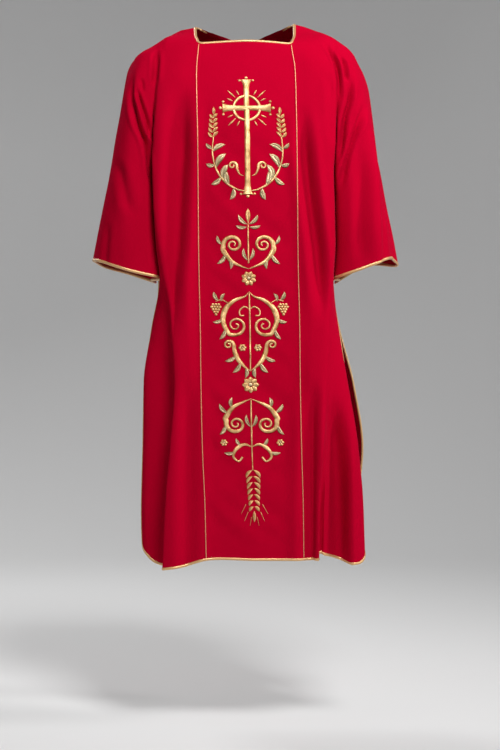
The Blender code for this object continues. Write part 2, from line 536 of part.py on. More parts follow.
def lay_front(cloth):
    at = LEVELS
    neck = int(np.searchsorted(LEVELS, NECK_LEVEL))
    under = int(np.searchsorted(LEVELS, UNDERARM_LEVEL))
    cuff = int(np.searchsorted(LEVELS, CUFF_LEVEL))
    sides = {side: front_knots(side, at) for side in SIGN}
    centre = column(PANEL["level"], np.stack(
        [PANEL["centre_x"], PANEL["centre_y"], PANEL["z"]], axis=1), at)
    bow = NECK_BOW * np.clip(1 - (at - NECK_LEVEL) / 0.06, 0, 1) ** 2
    centre[:, 2] += bow
    half = sum(FRONT_STEPS)
    middle = half + PANEL_STEPS
    body = np.full((len(at), 2 * middle + 1, 3), np.nan)
    arms = {side: np.full((cuff + 1, sum(SLEEVE_STEPS) + 1, 3), np.nan) for side in SIGN}

    def split(row_points, rows, whole):
        """Cut full-width rows into the body and the two sleeves."""
        arm = sum(SLEEVE_STEPS)
        if whole:
            arms["right"][rows] = row_points[:, arm::-1]
            arms["left"][rows] = row_points[:, -arm - 1:]
            body[rows] = row_points[:, arm:-arm]
        else:
            body[rows] = row_points

    def stack(parts, rows):
        return np.stack([p[rows] for p in parts], axis=1)

    full_steps = (SLEEVE_STEPS[::-1] + FRONT_STEPS[::-1] + (PANEL_STEPS,) * 2
                  + FRONT_STEPS + SLEEVE_STEPS)
    left_body, left_arm = sides["left"]
    right_body, right_arm = sides["right"]
    rows = slice(neck, under)
    line = (right_arm[:0:-1] + right_body[::-1] + [centre] + left_body + left_arm[1:])
    split(across(stack(line, rows), full_steps), rows, True)
    rows = slice(under, len(at))
    line = right_body[::-1] + [centre] + left_body
    split(across(stack(line, rows), FRONT_STEPS[::-1] + (PANEL_STEPS,) * 2 + FRONT_STEPS),
          rows, False)
    for side, (columns, arm) in sides.items():
        top = slice(0, neck)
        points = across(stack(columns + arm[1:], top), FRONT_STEPS + SLEEVE_STEPS)
        body_part, arm_part = points[:, :half + 1], points[:, half:]
        low = slice(under, cuff + 1)
        arms[side][low] = across(stack(arm, low), SLEEVE_STEPS)
        arms[side][top] = arm_part
        if side == "left":
            body[top, -half - 1:] = body_part
        else:
            body[top, :half + 1] = body_part[:, ::-1]
    set_shoulder(body, arms, half, -1)
    for grid in (body[:, ::-1], body):                  # side edges below the underarm
        inset(grid[under + 1:].swapaxes(0, 1), 0, 1)
    for grid, panel in ((body, half), (body[:, ::-1], half)):   # beside the panel's seams
        inset(grid.swapaxes(0, 1), panel, panel - 1)
    inset(body, -1, -2)
    index = cloth.grid(body, -1)

    def piece(i, j):
        if half <= j < 2 * middle - half:
            return "front_panel"
        return "front_side_right" if j < half else "front_side_left"

    def zone(i, j):
        names = set()
        outer_right, outer_left = j == half - 1, j == 2 * middle - half
        if (i < neck and (outer_right or outer_left)) or \
                (i == neck and half - 1 <= j <= 2 * middle - half):
            names.add("neck")
        if i == len(at) - 2 or (i > under + 1 and j in (0, 2 * middle - 1)):
            names.add("front_edge")
        return names

    cloth.cover(index, piece, False, zone)
    sleeves = {}
    for side in SIGN:
        grid = arms[side]
        inset(grid, -1, -2)
        sleeves[side] = lay_sleeve(cloth, grid, index, side, under, -1,
                                   "front_side_" + side, side == "right")
    for j in (half, 2 * middle - half):                 # the panel's two seams
        for point in index[neck:, j]:
            cloth.locked[point] = 0
    for j in [*range(half + 1), *range(2 * middle - half, 2 * middle + 1)]:
        cloth.locked[index[0, j]] = 1
    return index, sleeves, half


def set_shoulder(body, arms, half, face):
    """Lay the first row exactly on the shoulder seam."""
    y = face * SEAM_GAP / 2
    for side, sign in SIGN.items():
        row = body[0, -half - 1:] if side == "left" else body[0, half::-1]
        for points in (row, arms[side][0]):
            for point in points:
                x = abs(point[0])
                point[:] = (sign * x, y, shoulder_point(side, x)[2])


def lay_sleeve(cloth, grid, body_index, side, under, face, piece, flip):
    """Index grid of a sleeve that shares the body's edge points down to the underarm."""
    index = np.full(grid.shape[:2], -1)
    edge = -1 if side == "left" else 0
    index[:under + 1, 0] = body_index[:under + 1, edge]
    for i in range(grid.shape[0]):
        for j in range(grid.shape[1]):
            if index[i, j] < 0:
                index[i, j] = cloth.add(grid[i, j], face)
    last, outer = grid.shape[0] - 2, grid.shape[1] - 2
    cloth.cover(index, lambda i, j: piece, flip,
                lambda i, j: {"sleeve_" + side} if i == last else set(),
                lambda i, j: i == 0 and j == outer)
    for point in [*index[0], *index[:, -1], *index[under + 1:, 0]]:
        cloth.locked[point] = 1
    cloth.corners[index[0, -1]] = (index[0, -2], index[1, -1])
    first = int(np.searchsorted(LEVELS, VALLEY_LEVEL))
    cloth.valleys.extend(index[first:under + 1, 0])
    return index


def lay_back(cloth):
    at = LEVELS
    under = int(np.searchsorted(LEVELS, UNDERARM_LEVEL))
    cuff = int(np.searchsorted(LEVELS, CUFF_LEVEL))
    sides = {side: back_knots(side, at) for side in SIGN}
    half = sum(BACK_STEPS)
    neck_columns = BACK_STEPS[0] + BACK_STEPS[1]
    body = np.full((len(at), 2 * half + 1, 3), np.nan)
    arms = {}
    for side, (columns, arm) in sides.items():
        other = sides["right" if side == "left" else "left"][0]
        ghost = other[1]                                # the mirror side's first knot
        whole = np.stack([ghost, *columns], axis=1)
        low = across(whole, (1,) + BACK_STEPS)[:, 1:]
        top = slice(0, under)
        joined = np.stack([p[top] for p in [ghost, *columns, *arm[1:]]], axis=1)
        joined = across(joined, (1,) + BACK_STEPS + SLEEVE_STEPS)[:, 1:]
        low[top] = joined[:, :half + 1]
        sleeve = across(np.stack(arm, axis=1), SLEEVE_STEPS)
        sleeve[top] = joined[:, half:]
        arms[side] = sleeve
        if side == "left":
            body[:, half:] = low
        else:
            body[:, half::-1] = low
    for side, sign in SIGN.items():                     # neckline and shoulder seam
        row = body[0, half:] if side == "left" else body[0, half::-1]
        end = SHOULDER[side]["x"][0]
        rise = SHOULDER[side]["z"][0] + BACK_NECK_DROP
        for k in range(neck_columns + 1):
            out = (k / neck_columns) ** BACK_NECK_SPREAD
            row[k] = (sign * end * out, BACK_NECK_Y * (1 - out ** 2),
                      -BACK_NECK_DROP + rise * out ** 2)
        for points in (row[neck_columns:], arms[side][0]):
            for point in points:
                x = abs(point[0])
                point[:] = (sign * x, SEAM_GAP / 2, shoulder_point(side, x)[2])
    for grid in (body[:, ::-1], body):
        inset(grid[under + 1:].swapaxes(0, 1), 0, 1)
    inset(body, -1, -2)
    first = half - neck_columns
    neckline = body[:, first:half + neck_columns + 1]
    inset(neckline, 0, 1)
    for column_at, step in ((first, -1), (half + neck_columns, 1)):
        sign = 1.0 if step > 0 else -1.0
        side = "left" if step > 0 else "right"
        x = abs(body[0, column_at, 0]) + BINDING_WIDTH
        body[0, column_at + step] = (sign * x, SEAM_GAP / 2, shoulder_point(side, x)[2])
        away = body[1, column_at + step] - body[0, column_at]
        away *= BINDING_MITRE * BINDING_WIDTH / np.linalg.norm(away)
        body[1, column_at + step] = body[0, column_at] + away
    index = cloth.grid(body, 1)

    def zone(i, j):
        names = set()
        if i == 0 and first - 1 <= j <= half + neck_columns:
            names.add("neck")
        if i == len(at) - 2 or (i > under + 1 and j in (0, 2 * half - 1)):
            names.add("back_edge")
        return names

    cloth.cover(index, lambda i, j: "back", True, zone)
    sleeves = {}
    for side in SIGN:
        grid = arms[side]
        inset(grid, -1, -2)
        sleeves[side] = lay_sleeve(cloth, grid, index, side, under, 1, "back",
                                   side == "left")
    for j in [*range(first + 1), *range(half + neck_columns, 2 * half + 1)]:
        cloth.locked[index[0, j]] = 1
    return index, sleeves, (first, half + neck_columns)


# ---------------------------------------------------------------- solids
def material(name, colour, roughness, metallic):
    made = bpy.data.materials.new(name)
    made.use_nodes = True
    shader = made.node_tree.nodes["Principled BSDF"]
    shader.inputs["Base Color"].default_value = colour
    shader.inputs["Roughness"].default_value = roughness
    shader.inputs["Metallic"].default_value = metallic
    made.diffuse_color = colour
    return made


def make_object(name, points, faces, finish):
    mesh = bpy.data.meshes.new(name)
    mesh.from_pydata([tuple(p) for p in points], [], faces)
    mesh.materials.append(finish)
    mesh.shade_smooth()
    mesh.set_sharp_from_angle(angle=np.radians(50))
    made = bpy.data.objects.new(name, mesh)
    bpy.context.scene.collection.objects.link(made)
    return made


def wall(name, quads, points, normals, low, high, finish, shift=None):
    """Closed solid over some quads, between two offsets along the normals."""
    used = sorted({c for quad in quads for c in quad})
    place = {point: k for k, point in enumerate(used)}
    base = points[used].copy()
    if shift:
        for point, move in shift.items():
            if point in place:
                base[place[point]] += move
    count = len(used)
    solid_points = np.concatenate([base + normals[used] * high, base + normals[used] * low])
    faces, rim = [], {}
    for quad in quads:
        a, b, c, d = (place[corner] for corner in quad)
        for tri in ((a, b, c), (a, c, d)):
            faces.append(tri)
            faces.append(tuple(k + count for k in reversed(tri)))
        for start, end in ((a, b), (b, c), (c, d), (d, a)):
            if (end, start) in rim:
                del rim[end, start]
            else:
                rim[start, end] = True
    for start, end in rim:
        faces.append((end, start, start + count))
        faces.append((end, start + count, end + count))
    return make_object(name, solid_points, faces, finish)


def cord(name, line, normals, sides, finish):
    """Flat piping along a seam, crowned a little; sides point across the seam."""
    profile = ((-0.5, 0.0), (-0.5, 0.45), (-0.22, 1.0), (0.22, 1.0), (0.5, 0.45), (0.5, 0.0))
    points, faces = [], []
    for point, normal, side in zip(line, normals, sides):
        for across_seam, out in profile:
            points.append(point + side * across_seam * PIPING_WIDTH
                          + normal * (BINDING_LIFT + out * PIPING_THICK))
    n, last = len(profile), len(points) - len(profile)
    for i in range(len(line) - 1):
        for k in range(n):
            a, b = i * n + k, i * n + (k + 1) % n
            faces.append((a, b, b + n, a + n))
    faces.append(tuple(range(n - 1, -1, -1)))
    faces.append(tuple(last + k for k in range(n)))
    return make_object(name, points, faces, finish)


def merged(quads, twin):
    return [[twin.get(corner, corner) for corner in quad] for quad in quads]


def main():
    for old in list(bpy.data.objects):
        bpy.data.objects.remove(old, do_unlink=True)
    cloth = Cloth()
    front, front_sleeves, half = lay_front(cloth)
    back, back_sleeves, neck_ends = lay_back(cloth)
    for side in SIGN:                                   # back seam points onto the front's
        for a, b in zip(front_sleeves[side][:, -1], back_sleeves[side][:, -1]):
            cloth.twin[b] = a
        under = int(np.searchsorted(LEVELS, UNDERARM_LEVEL))
        for a, b in zip(front_sleeves[side][under + 1:, 0],
                        back_sleeves[side][under + 1:, 0]):
            cloth.twin[b] = a
    last = front.shape[1] - 1
    for column_at, step, panel in ((neck_ends[0], -1, half), (neck_ends[1], 1, last - half)):
        cloth.twin[back[0, column_at]] = front[0, panel]
        cloth.twin[back[0, column_at + step]] = front[0, panel + step]
    cloth.finish()
    points, normals = cloth.points, cloth.normals

    red = material("red_cloth", RED, 0.72, 0.0)
    gold = material("gold_braid", GOLD, 0.42, 0.6)
    shifts = {"front_panel": {}, "front_side_left": {}, "front_side_right": {}}
    for j, side in ((half, "right"), (last - half, "left")):
        for point in front[:, j]:
            if point >= 0:
                gap = np.array((SIGN[side] * SEAM_GAP / 2, 0.0, 0.0))
                shifts["front_side_" + side][point] = gap
                shifts["front_panel"][point] = -gap
    for name in ("front_panel", "front_side_left", "front_side_right", "back"):
        quads = [q for q, piece, _ in cloth.quads if piece == name]
        wall(name, quads, points, normals, -WALL, 0.0, red, shifts.get(name))

    trims = (("neck_binding", "neck"), ("sleeve_binding_left", "sleeve_left"),
             ("sleeve_binding_right", "sleeve_right"), ("front_edge_binding", "front_edge"),
             ("back_edge_binding", "back_edge"))
    for name, zone in trims:
        quads = [q for q, _, zones in cloth.quads if zone in zones]
        wall(name, merged(quads, cloth.twin), points, normals, BINDING_LIFT,
             BINDING_LIFT + BINDING_THICK, gold)

    neck_row = int(np.searchsorted(LEVELS, NECK_LEVEL))
    for j, side in ((half, "right"), (last - half, "left")):
        run = front[neck_row + 1:-1, j]
        line, out = points[run], cloth.free_normals[run]
        down = np.gradient(line, axis=0)
        line[0] += down[0] / np.linalg.norm(down[0]) * PIPING_END_GAP
        line[-1] -= down[-1] / np.linalg.norm(down[-1]) * PIPING_END_GAP
        sides = np.cross(down, out)
        sides /= np.linalg.norm(sides, axis=1)[:, None]
        cord("panel_piping_" + side, line, out, sides, gold)


main()
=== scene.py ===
"""Looks of a dalmatic kept in its worn form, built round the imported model.

Metres, +Z up, -Y is the garment's front, +X is the wearer's left.
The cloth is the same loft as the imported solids, cut much finer, with the smaller
folds pressed into it.  Bindings, pipings and embroidery are laid on that cloth.
"""

import bpy
import numpy as np
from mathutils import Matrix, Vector
from mathutils.bvhtree import BVHTree


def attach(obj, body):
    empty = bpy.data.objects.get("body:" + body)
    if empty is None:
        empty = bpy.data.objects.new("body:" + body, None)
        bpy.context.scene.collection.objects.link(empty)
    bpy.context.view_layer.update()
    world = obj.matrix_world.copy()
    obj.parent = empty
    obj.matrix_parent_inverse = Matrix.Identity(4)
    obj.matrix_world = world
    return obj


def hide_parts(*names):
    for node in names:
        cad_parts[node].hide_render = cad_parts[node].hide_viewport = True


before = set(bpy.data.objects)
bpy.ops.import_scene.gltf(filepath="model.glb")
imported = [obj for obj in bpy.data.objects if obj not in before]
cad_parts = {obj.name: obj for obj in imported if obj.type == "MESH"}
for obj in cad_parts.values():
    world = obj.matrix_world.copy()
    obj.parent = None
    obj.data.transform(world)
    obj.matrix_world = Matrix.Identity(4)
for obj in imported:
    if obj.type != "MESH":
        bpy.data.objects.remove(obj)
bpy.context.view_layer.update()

# ---------------------------------------------------------------- sizes
WALL = 0.002             # thickness of the lined cloth
SEAM_GAP = 0.00006       # the seams are closed; the pieces only stay apart
BINDING_LIFT = 0.0002    # between a trim and the cloth that it lies on
BINDING_THICK = 0.0010
BINDING_REACH = 0.0040   # how far the rolled binding reaches onto the cloth
SLEEVE_REACH = 0.0046
BINDING_TIP = 0.0015     # how far it stands out past the edge
ROLL_POINTS = 15         # of the roll's outline
SLOT_MOUTH = 0.0005      # the slot that takes the cloth: its corners' and its end's
SLOT_END = -0.0004       # distance in from the cloth's edge
MITRE_LEAST = 0.6        # cosine that limits the braid's widening at a bend
ON_CLOTH = 0.001         # the roll's points further in than this follow the cloth
PIPING_WIDTH = 0.0020    # along the two seams of the centre panel
PIPING_THICK = 0.0016

NECK_LEVEL = 0.057       # nominal level of the front neckline
UNDERARM_LEVEL = 0.41    # where the side slits begin
SLIT_LEVEL = 0.44        # where the slits' bindings begin
CUFF_LEVEL = 0.57        # the sleeve hems
HEM_LEVEL = 1.18
UNDERARM_Y = WALL + SEAM_GAP / 2   # each layer's distance from the mid plane
UNDER = 1000 * UNDERARM_Y          # the same in the tables' millimetres

ROW_STEP = 0.0036        # between two sections of the cloth
ROW_STOPS = (0.0, 0.028, NECK_LEVEL, 0.12, UNDERARM_LEVEL, SLIT_LEVEL, CUFF_LEVEL, HEM_LEVEL)
LEVELS = np.concatenate([*(np.linspace(a, b, round((b - a) / ROW_STEP), endpoint=False)
                           for a, b in zip(ROW_STOPS, ROW_STOPS[1:])), ROW_STOPS[-1:]])
SECTION_LEVELS = (57, 120, 190, 260, 340, 410, 490, 570, 680, 800, 940, 1060, 1180)


def table(columns, *rows):
    """Named columns in metres of a table that is written in millimetres."""
    return dict(zip(columns.split(), np.array(rows, dtype=float).T / 1000))


def sections(columns, *rows, above=()):
    """A table with a row for each section: those above the neckline, then the others."""
    levels = (*above, *SECTION_LEVELS)[:len(rows)]
    return dict(table(columns, *rows), level=np.array(levels) / 1000)


# Centre panel: where its middle and edges run.
PANEL = sections(
    "centre_x half z centre_y edge_y",
    ( 0.3, 101.2, -54.8,    -98,    -90),
    ( 2.2, 107.2,  -120,   -121,   -115),
    ( 3.6, 107.4,  -190,   -139,   -133),
    ( 5.2,   107,  -260,   -148,   -142),
    (   6,   107,  -340,   -152, -146.5),
    ( 6.6,   107,  -410,   -153,   -148),
    ( 7.2,   107,  -490,   -153,   -149),
    ( 8.5,   107,  -570, -153.5,   -150),
    (11.2,   107,  -680,   -156,   -153),
    (12.5, 106.8,  -800,   -159, -156.5),
    (15.5, 106.5,  -940,   -162,   -160),
    (  20, 105.5, -1060,   -165,   -163),
    (22.2, 104.8, -1178,   -168,   -166),
)
NECK_BOW = 0.0055        # the middle of the front neckline stands this much higher
NECK_BOW_FADE = 0.06
NECK_SIDE = (0.1078, -0.0500, -0.0300)   # half way down the neckline's side

# Top seam from the neck point over the shoulder, one profile a side.
SHOULDER = {
    "left": table("x z", (109.5, 4.2), (139, -4), (165, -13.5), (180, -19), (196, -26.2),
                  (210, -36), (224, -48.5), (237, -63.5), (248, -82)),
    "right": table("x z", (109.5, -3), (143, -9.5), (160, -18), (175, -27), (201, -42.5),
                   (221.5, -55.5), (236, -65), (243, -71), (249.5, -78.5)),
}
# Places along that seam where the section columns begin.
SHOULDER_X = {
    "left": dict(ridge=0.174, tuck=0.186, side=0.195, edge=0.204, inner=0.213,
                 front=0.225, outer=0.2365),
    "right": dict(ridge=0.173, tuck=0.185, side=0.195, edge=0.205, inner=0.215,
                  front=0.227, outer=0.2385),
}
ARCH_LEVEL = 0.028       # a section half way over the shoulder's arch
ARCH_Y = 0.60            # how far it has gone out, and down
ARCH_Z = 0.27

# Front of the body, outside the centre panel.  Down to the underarm the four
# columns run into the valley beside the sleeve; below it they end at the slit.
FRONT_BODY = {
    "left": sections(
        "ridge_x ridge_y tuck_x tuck_y side_x side_y edge_x edge_y",
        (  174,  -82,   183,  -80,   189,  -79,   195,    -77),
        (  186, -107,   191, -104, 194.5, -100,   198,    -97),
        (  192, -121, 196.5, -116,   199, -110,   201,   -105),
        (190.5, -129, 196.5, -119, 197.5, -103,   199,    -88),
        (  186, -134, 193.5, -117, 194.5,  -86,   195,    -50),
        (  187, -136, 196.5, -114, 198.5,  -66, 197.5, -UNDER),
        (  188, -139, 197.5, -117, 198.5,  -70, 195.5,    -20),
        (  183, -143,   192, -124,   194,  -82,   194,    -26),
        (  178, -149,   188, -134,   202,  -96,   207,    -36),
        (  170, -156,   184, -140,   220, -110,   224,    -46),
        (  163, -162,   172, -141,   243, -118,   243,    -55),
        (158.5, -166,   164, -137,   254, -120,   251,    -60),
        (  158, -168,   161, -127, 258.5, -120,   254,    -64)),
    "right": sections(
        "ridge_x ridge_y tuck_x tuck_y side_x side_y edge_x edge_y",
        (  173,  -81,   181,  -79, 186.5,  -78,   192,    -76),
        (  183, -106,   188, -103,   191,  -98,   194,    -95),
        (  189, -120,   193, -114, 195.5, -107, 197.5,   -101),
        (  192, -128, 198.5, -117,   199,  -99, 200.5,    -80),
        (  194, -133,   201, -115, 202.5,  -81,   203,    -40),
        (  192, -136, 198.5, -114,   199,  -66,   201, -UNDER),
        (  183, -141,   192, -119, 195.5,  -72,   196,    -20),
        (  171, -147,   181, -127,   187,  -80,   190,    -26),
        (  156, -153,   164, -131,   200,  -87,   206,    -38),
        (  150, -156,   152, -121,   217,  -94,   223,    -50),
        (  160, -158,   150, -114,   218,  -90,   226,    -56),
        (  170, -160,   155, -112,   220,  -86,   229,    -58),
        (  178, -162,   164, -115,   216,  -86,   228,    -60)),
}
# How far the front hem hangs below its panel's hem (minus: above).
FRONT_HEM = {
    "left": dict(mid=-0.001, ridge=0.000, tuck=-0.012, side=0.000, edge=-0.042),
    "right": dict(mid=0.014, ridge=0.021, tuck=0.018, side=-0.016, edge=-0.072),
}
HEM_TURN = 0.12          # the hem's slope beside the panel fades out over this height
MID_OUT = 0.004          # the cloth beside the panel stands out, in full from MID_FULL down
MID_FULL = 0.12

# The rounded lower corners: thousandths of the way out to the slit edge, from the tuck
# (the back: from its ridge), and how far the hem hangs below the panel's there.
CORNER_FROM = 0.98       # level where the rounding begins
CORNER_GAIN = 1.5        # power by which it grows down to the hem
CORNER = {
    "left": table("at drop", (0, -12), (140, -5.5), (260, 4), (350, 9.4), (460, 12.4), (560, 11.8),
                  (620, 7.2), (670, 0), (760, -12), (880, -25), (1000, -46)),
    "right": table("at drop", (0, 18), (210, 17.5), (410, 13.1), (550, 5.5), (670, -4),
                   (840, -17.5), (940, -31), (1000, -60)),
    "back": table("at drop", (0, 2), (300, 3.5), (520, 2.5), (700, -4), (840, -13), (940, -25),
                  (1000, -40)),
}

# Front of each sleeve, from the valley or the underarm seam to the top seam.
FRONT_SLEEVE = {
    "left": sections(
        "under_x inner_x inner_y front_x front_y outer_x outer_y",
        (  195,   206,  -76, 227,  -70, 245, -50),
        (  198,   210,  -97, 238,  -90, 261, -60),
        (  201, 208.5, -107, 244, -103, 271, -70),
        (  199,   203, -110, 249, -113, 279, -80),
        (  195, 199.5, -113, 252, -119, 288, -88),
        (197.5,   202, -112, 255, -123, 295, -94),
        (  211,   202, -105, 260, -125, 305, -98),
        (  209,   198,  -97, 260, -123, 310, -94)),
    "right": sections(
        "under_x inner_x inner_y front_x front_y outer_x outer_y",
        (  192,   203,  -75, 226,  -68, 245, -48),
        (  194,   206,  -95, 237,  -89, 259, -57),
        (197.5, 203.5, -104, 242, -101, 267, -65),
        (200.5,   205, -108, 248, -110, 277, -70),
        (  203,   207, -111, 255, -116, 289, -74),
        (  201, 204.5, -110, 259, -120, 299, -78),
        (  211,   198, -104, 257, -122, 308, -80),
        (  208,   187,  -98, 255, -120, 317, -78)),
}
# Power by which a sleeve's rows drop from the underarm to the top seam: level, power.
SLEEVE_DROP = (0.12, CUFF_LEVEL), (2.0, 1.0)
# How far the front and outer columns of a sleeve's back hang lower at the hem.
CUFF_SAG = {"left": dict(front=-0.010, outer=0.013), "right": dict(front=0.0, outer=0.004)}
CUFF_SAG_FROM = 0.34
# Top seam of each sleeve below the shoulder.
SLEEVE_SEAM = {
    "left": sections(
        "x y z",
        (  248,   0,    -82),
        (  256,   0,  -95.5),
        (  264,   0,   -110),
        (  276,  -2,   -146),
        (  283,  -7,   -195),
        (  290, -14,   -260),
        (  298, -22,   -335),
        (  305, -28,   -397),
        (  316, -32,   -457),
        (325.5, -34, -522.5), above=(0, 28)),
    "right": sections(
        "x y z",
        (249.5,   0,  -78.5),
        (  257,   0,    -90),
        (263.5,   0,   -106),
        (271.2,   2,   -148),
        (  279,   4,   -197),
        (  290,   6,   -255),
        (303.5,   8,   -335),
        (  315,   9,   -395),
        (  327,  10,   -460),
        (339.5,  10,   -525), above=(0, 28)),
}

# Back: one table for both sides; only the slit edge differs.
BACK_NECK_Y = 0.074
BACK_NECK_DROP = 0.024
BACK_NECK_SPREAD = 0.85  # spaces the columns evenly along the neckline's curve
BACK_YOKE = (0.0, -0.068)    # x and z where the first row begins to slope to the sleeves
BACK_BODY = sections(
    "centre_y point_x point_y ridge_x ridge_y side_x side_y edge_x edge_y",
    (100, 138,  90, 170,  83,   184, 78,   193,    74),
    (117, 134, 112, 182, 103,   191, 92,   196,    80),
    (127, 126, 126, 189, 113, 196.5, 94,   199,    72),
    (130, 118, 131, 190, 117,   197, 92,   199,    58),
    (129, 112, 131, 188, 118,   195, 82, 198.5,    36),
    (128, 108, 130, 186, 118,   195, 68, 199.5, UNDER),
    (130, 106, 132, 185, 119,   196, 70, 196.5,    20),
    (133, 108, 136, 184, 122,   193, 75,   195,    26),
    (139, 112, 142, 189, 127,   204, 82,   206,    33),
    (146, 116, 148, 196, 132,   219, 88,   220,    40),
    (154, 120, 155, 200, 137,   222, 93,   223,    46),
    (159, 122, 160, 203, 141,   224, 96,   224,    50),
    (163, 124, 164, 205, 144,   224, 98,   223,    52),
)
# The wearer's left slit edge of the back stands out past the front.
BACK_EDGE_OUT = {
    "left": table("level out", (570, 0), (680, 10), (800, 26), (870, 37), (940, 44), (1000, 40),
                  (1060, 30), (1180, 16)),
    "right": table("level out", (570, 0), (1180, 0)),
}
BACK_SIDE_OUT = 0.7      # how much of that the column beside the edge follows
BACK_HEM = dict(centre=0.003, point=0.002, ridge=0.002, side=0.000, edge=-0.040)
BACK_SLEEVE = {
    "left": sections(
        "under_x inner_x inner_y front_x front_y outer_x outer_y",
        (  193,   204, 73, 228,  66, 247, 46),
        (  196,   208, 88, 240,  82, 264, 52),
        (  199,   209, 96, 247,  92, 278, 56),
        (  199, 209.5, 99, 254,  96, 289, 52),
        (198.5,   211, 98, 262,  96, 306, 46),
        (199.5,   212, 94, 269,  94, 318, 42),
        (  211,   208, 86, 275,  90, 330, 38),
        (  209,   207, 78, 280,  88, 342, 34)),
    "right": sections(
        "under_x inner_x inner_y front_x front_y outer_x outer_y",
        (  193,   203, 73, 227,  66, 245, 46),
        (  196,   207, 88, 238,  82, 260, 56),
        (  199,   209, 96, 243,  93, 268, 64),
        (  199,   210, 99, 249,  99, 278, 70),
        (198.5,   212, 98, 256, 102, 290, 74),
        (199.5,   213, 94, 262, 103, 300, 76),
        (  211,   208, 87, 265, 101, 310, 76),
        (  208,   206, 80, 268,  98, 319, 74)),
}

# Folds of the front (-1) and the back (+1), in millimetres: how deep the trough is (a
# ridge: below zero), how wide it is towards the middle and outwards, and its path down
# the cloth as (across, down).
FOLDS = {-1: (
    # shoulder and sleeve, wearer's right
    (13, 5, 6, (-244, 105), (-249, 153), (-243, 197), (-231, 241), (-214, 280), (-207, 324),
     (-206, 376)),
    (8.5, 4.2, 4.2, (-239, 149), (-230, 179), (-219, 210), (-209, 245), (-206, 271)),
    (3.5, 4, 4, (-227, 131), (-224, 149), (-223, 166)),
    (6, 6, 6, (-195, 64), (-195, 103), (-198, 156)),
    (5.5, 12, 10, (-284, 300), (-266, 364), (-250, 440)),
    (4, 7.5, 8, (-300, 440), (-304, 500), (-308, 560)),
    # shoulder and sleeve, wearer's left
    (8, 4.2, 5, (169, 45), (184, 68), (195, 90), (202, 117), (205, 147), (205, 187)),
    (3, 9.5, 9.5, (177, 114), (188, 153), (190, 197), (189, 245), (195, 293)),
    (7, 4.2, 4.2, (208, 78), (219, 104), (223, 145)),
    (10, 6, 6, (235, 115), (227, 182), (216, 221), (210, 271), (202, 335)),
    (8.5, 6, 6.5, (265, 175), (248, 232), (232, 271), (219, 315), (204, 390)),
    (5, 11, 12, (258, 290), (252, 411), (246, 540)),
    (-11.5, 17, 9, (262, 150), (272, 230), (281, 310), (286, 430), (290, 600)),
    # body, beside the panel
    (21, 15, 23, (-134, 130), (-137, 289), (-140, 337), (-144, 406), (-148, 504), (-155, 586),
     (-158, 740)),
    (19, 14, 12, (126, 190), (133, 305), (138, 359), (149, 443), (159, 524), (168, 680)),
    (8.5, 15, 16, (-120, 760), (-119, 942), (-120, 1210)),
    (19, 17, 12, (150, 780), (146, 985), (144, 1210)),
    # lower left side: two soft ridges and the valley between them
    (21, 20, 15, (196, 820), (202, 1000), (206, 1210)),
    (-6, 10, 10, (228, 900), (231, 1050), (233, 1210)),
    (-3.5, 11, 11, (180, 960), (182, 1080), (182, 1210)),
), 1: (
    # valleys from the shoulders and long hanging folds
    (8, 8, 8, (-236, 150), (-226, 200), (-207, 290)),
    (8, 8, 8, (236, 155), (225, 215), (206, 310)),
    (12, 20, 20, (-60, 280), (-66, 600), (-78, 1210)),
    (11, 19, 19, (50, 240), (60, 640), (66, 1210)),
    (12, 18, 18, (-140, 360), (-148, 700), (-160, 1210)),
    (12, 17, 17, (136, 400), (146, 760), (158, 1210)),
    (-6, 18, 18, (-4, 620), (-6, 850), (-8, 1210)),
    # smaller ones: across the shoulders, the sleeves and the skirt
    (6, 4.5, 5, (-250, 190), (-236, 240), (-214, 320)),
    (5.5, 4.5, 5, (256, 200), (240, 255), (212, 345)),
    (3, 4, 4, (-186, 70), (-196, 100), (-200, 150)),
    (3.5, 4, 4, (172, 55), (190, 85), (199, 140)),
    (4.5, 10, 10, (-262, 340), (-262, 420), (-270, 520)),
    (4, 9, 10, (276, 330), (280, 400), (286, 500)),
    (4, 11, 8, (100, 130), (104, 220), (112, 420)),
    (3.5, 10, 10, (-90, 110), (-98, 190), (-106, 360)),
    (5, 11, 9, (196, 640), (202, 820), (204, 1210)),
    (4.5, 9, 10, (-198, 700), (-200, 900), (-204, 1210)),
    (4, 12, 12, (14, 900), (18, 1040), (20, 1210)),
)}
FOLD_FADE = 0.28         # share of a fold's length that it fades over, each end
FOLD_BANK = 0.28         # height of the soft banks beside a trough, as a share of its depth
BANK_PLACE = 2.0         # how far from its line they stand, and how wide, in its own widths
BANK_WIDTH = 0.9
# Soft puckers of the embroidered panel: wave length down and across, height, turn.
PUCKERS = ((0.074, 0.090, 0.0009, 0.4), (0.121, 0.130, 0.0012, 2.2), (0.047, 0.070, 0.0004, 1.1))
PUCKER_X = (0.010, 0.098, 0.030)     # middle and half width of their area, and its soft rim
PUCKER_TOP = (0.13, 0.08)            # where they begin, and over what height
PUCKER_FOOT = (1.17, 0.06)           # where they end
# Seam allowances lie under the cloth beside the top seams.
SEAM_RISE = 0.0017
SEAM_DIP = 0.0016
SEAM_SPREAD = 0.0070
SEAM_ROWS = 12           # of the body, that may lie beside the shoulder's seam
# Slow swells of the cloth: size of the wave, height, and its turn.
SWELLS = ((0.021, 0.0006, 0.7), (0.034, 0.0009, 2.3), (0.055, 0.0010, 4.1))

# Columns between two knots of a section, from the middle out.
PANEL_STEPS = 22
FRONT_STEPS = (14, 14, 6, 22, 12)    # panel, mid, ridge, tuck, side, edge
BACK_STEPS = (9, 9, 12, 7, 9)        # centre, mid, point, ridge, side, edge
SLEEVE_STEPS = {-1: (16, 18, 16, 18), 1: (9, 12, 10, 14)}   # under, inner, front, outer, seam

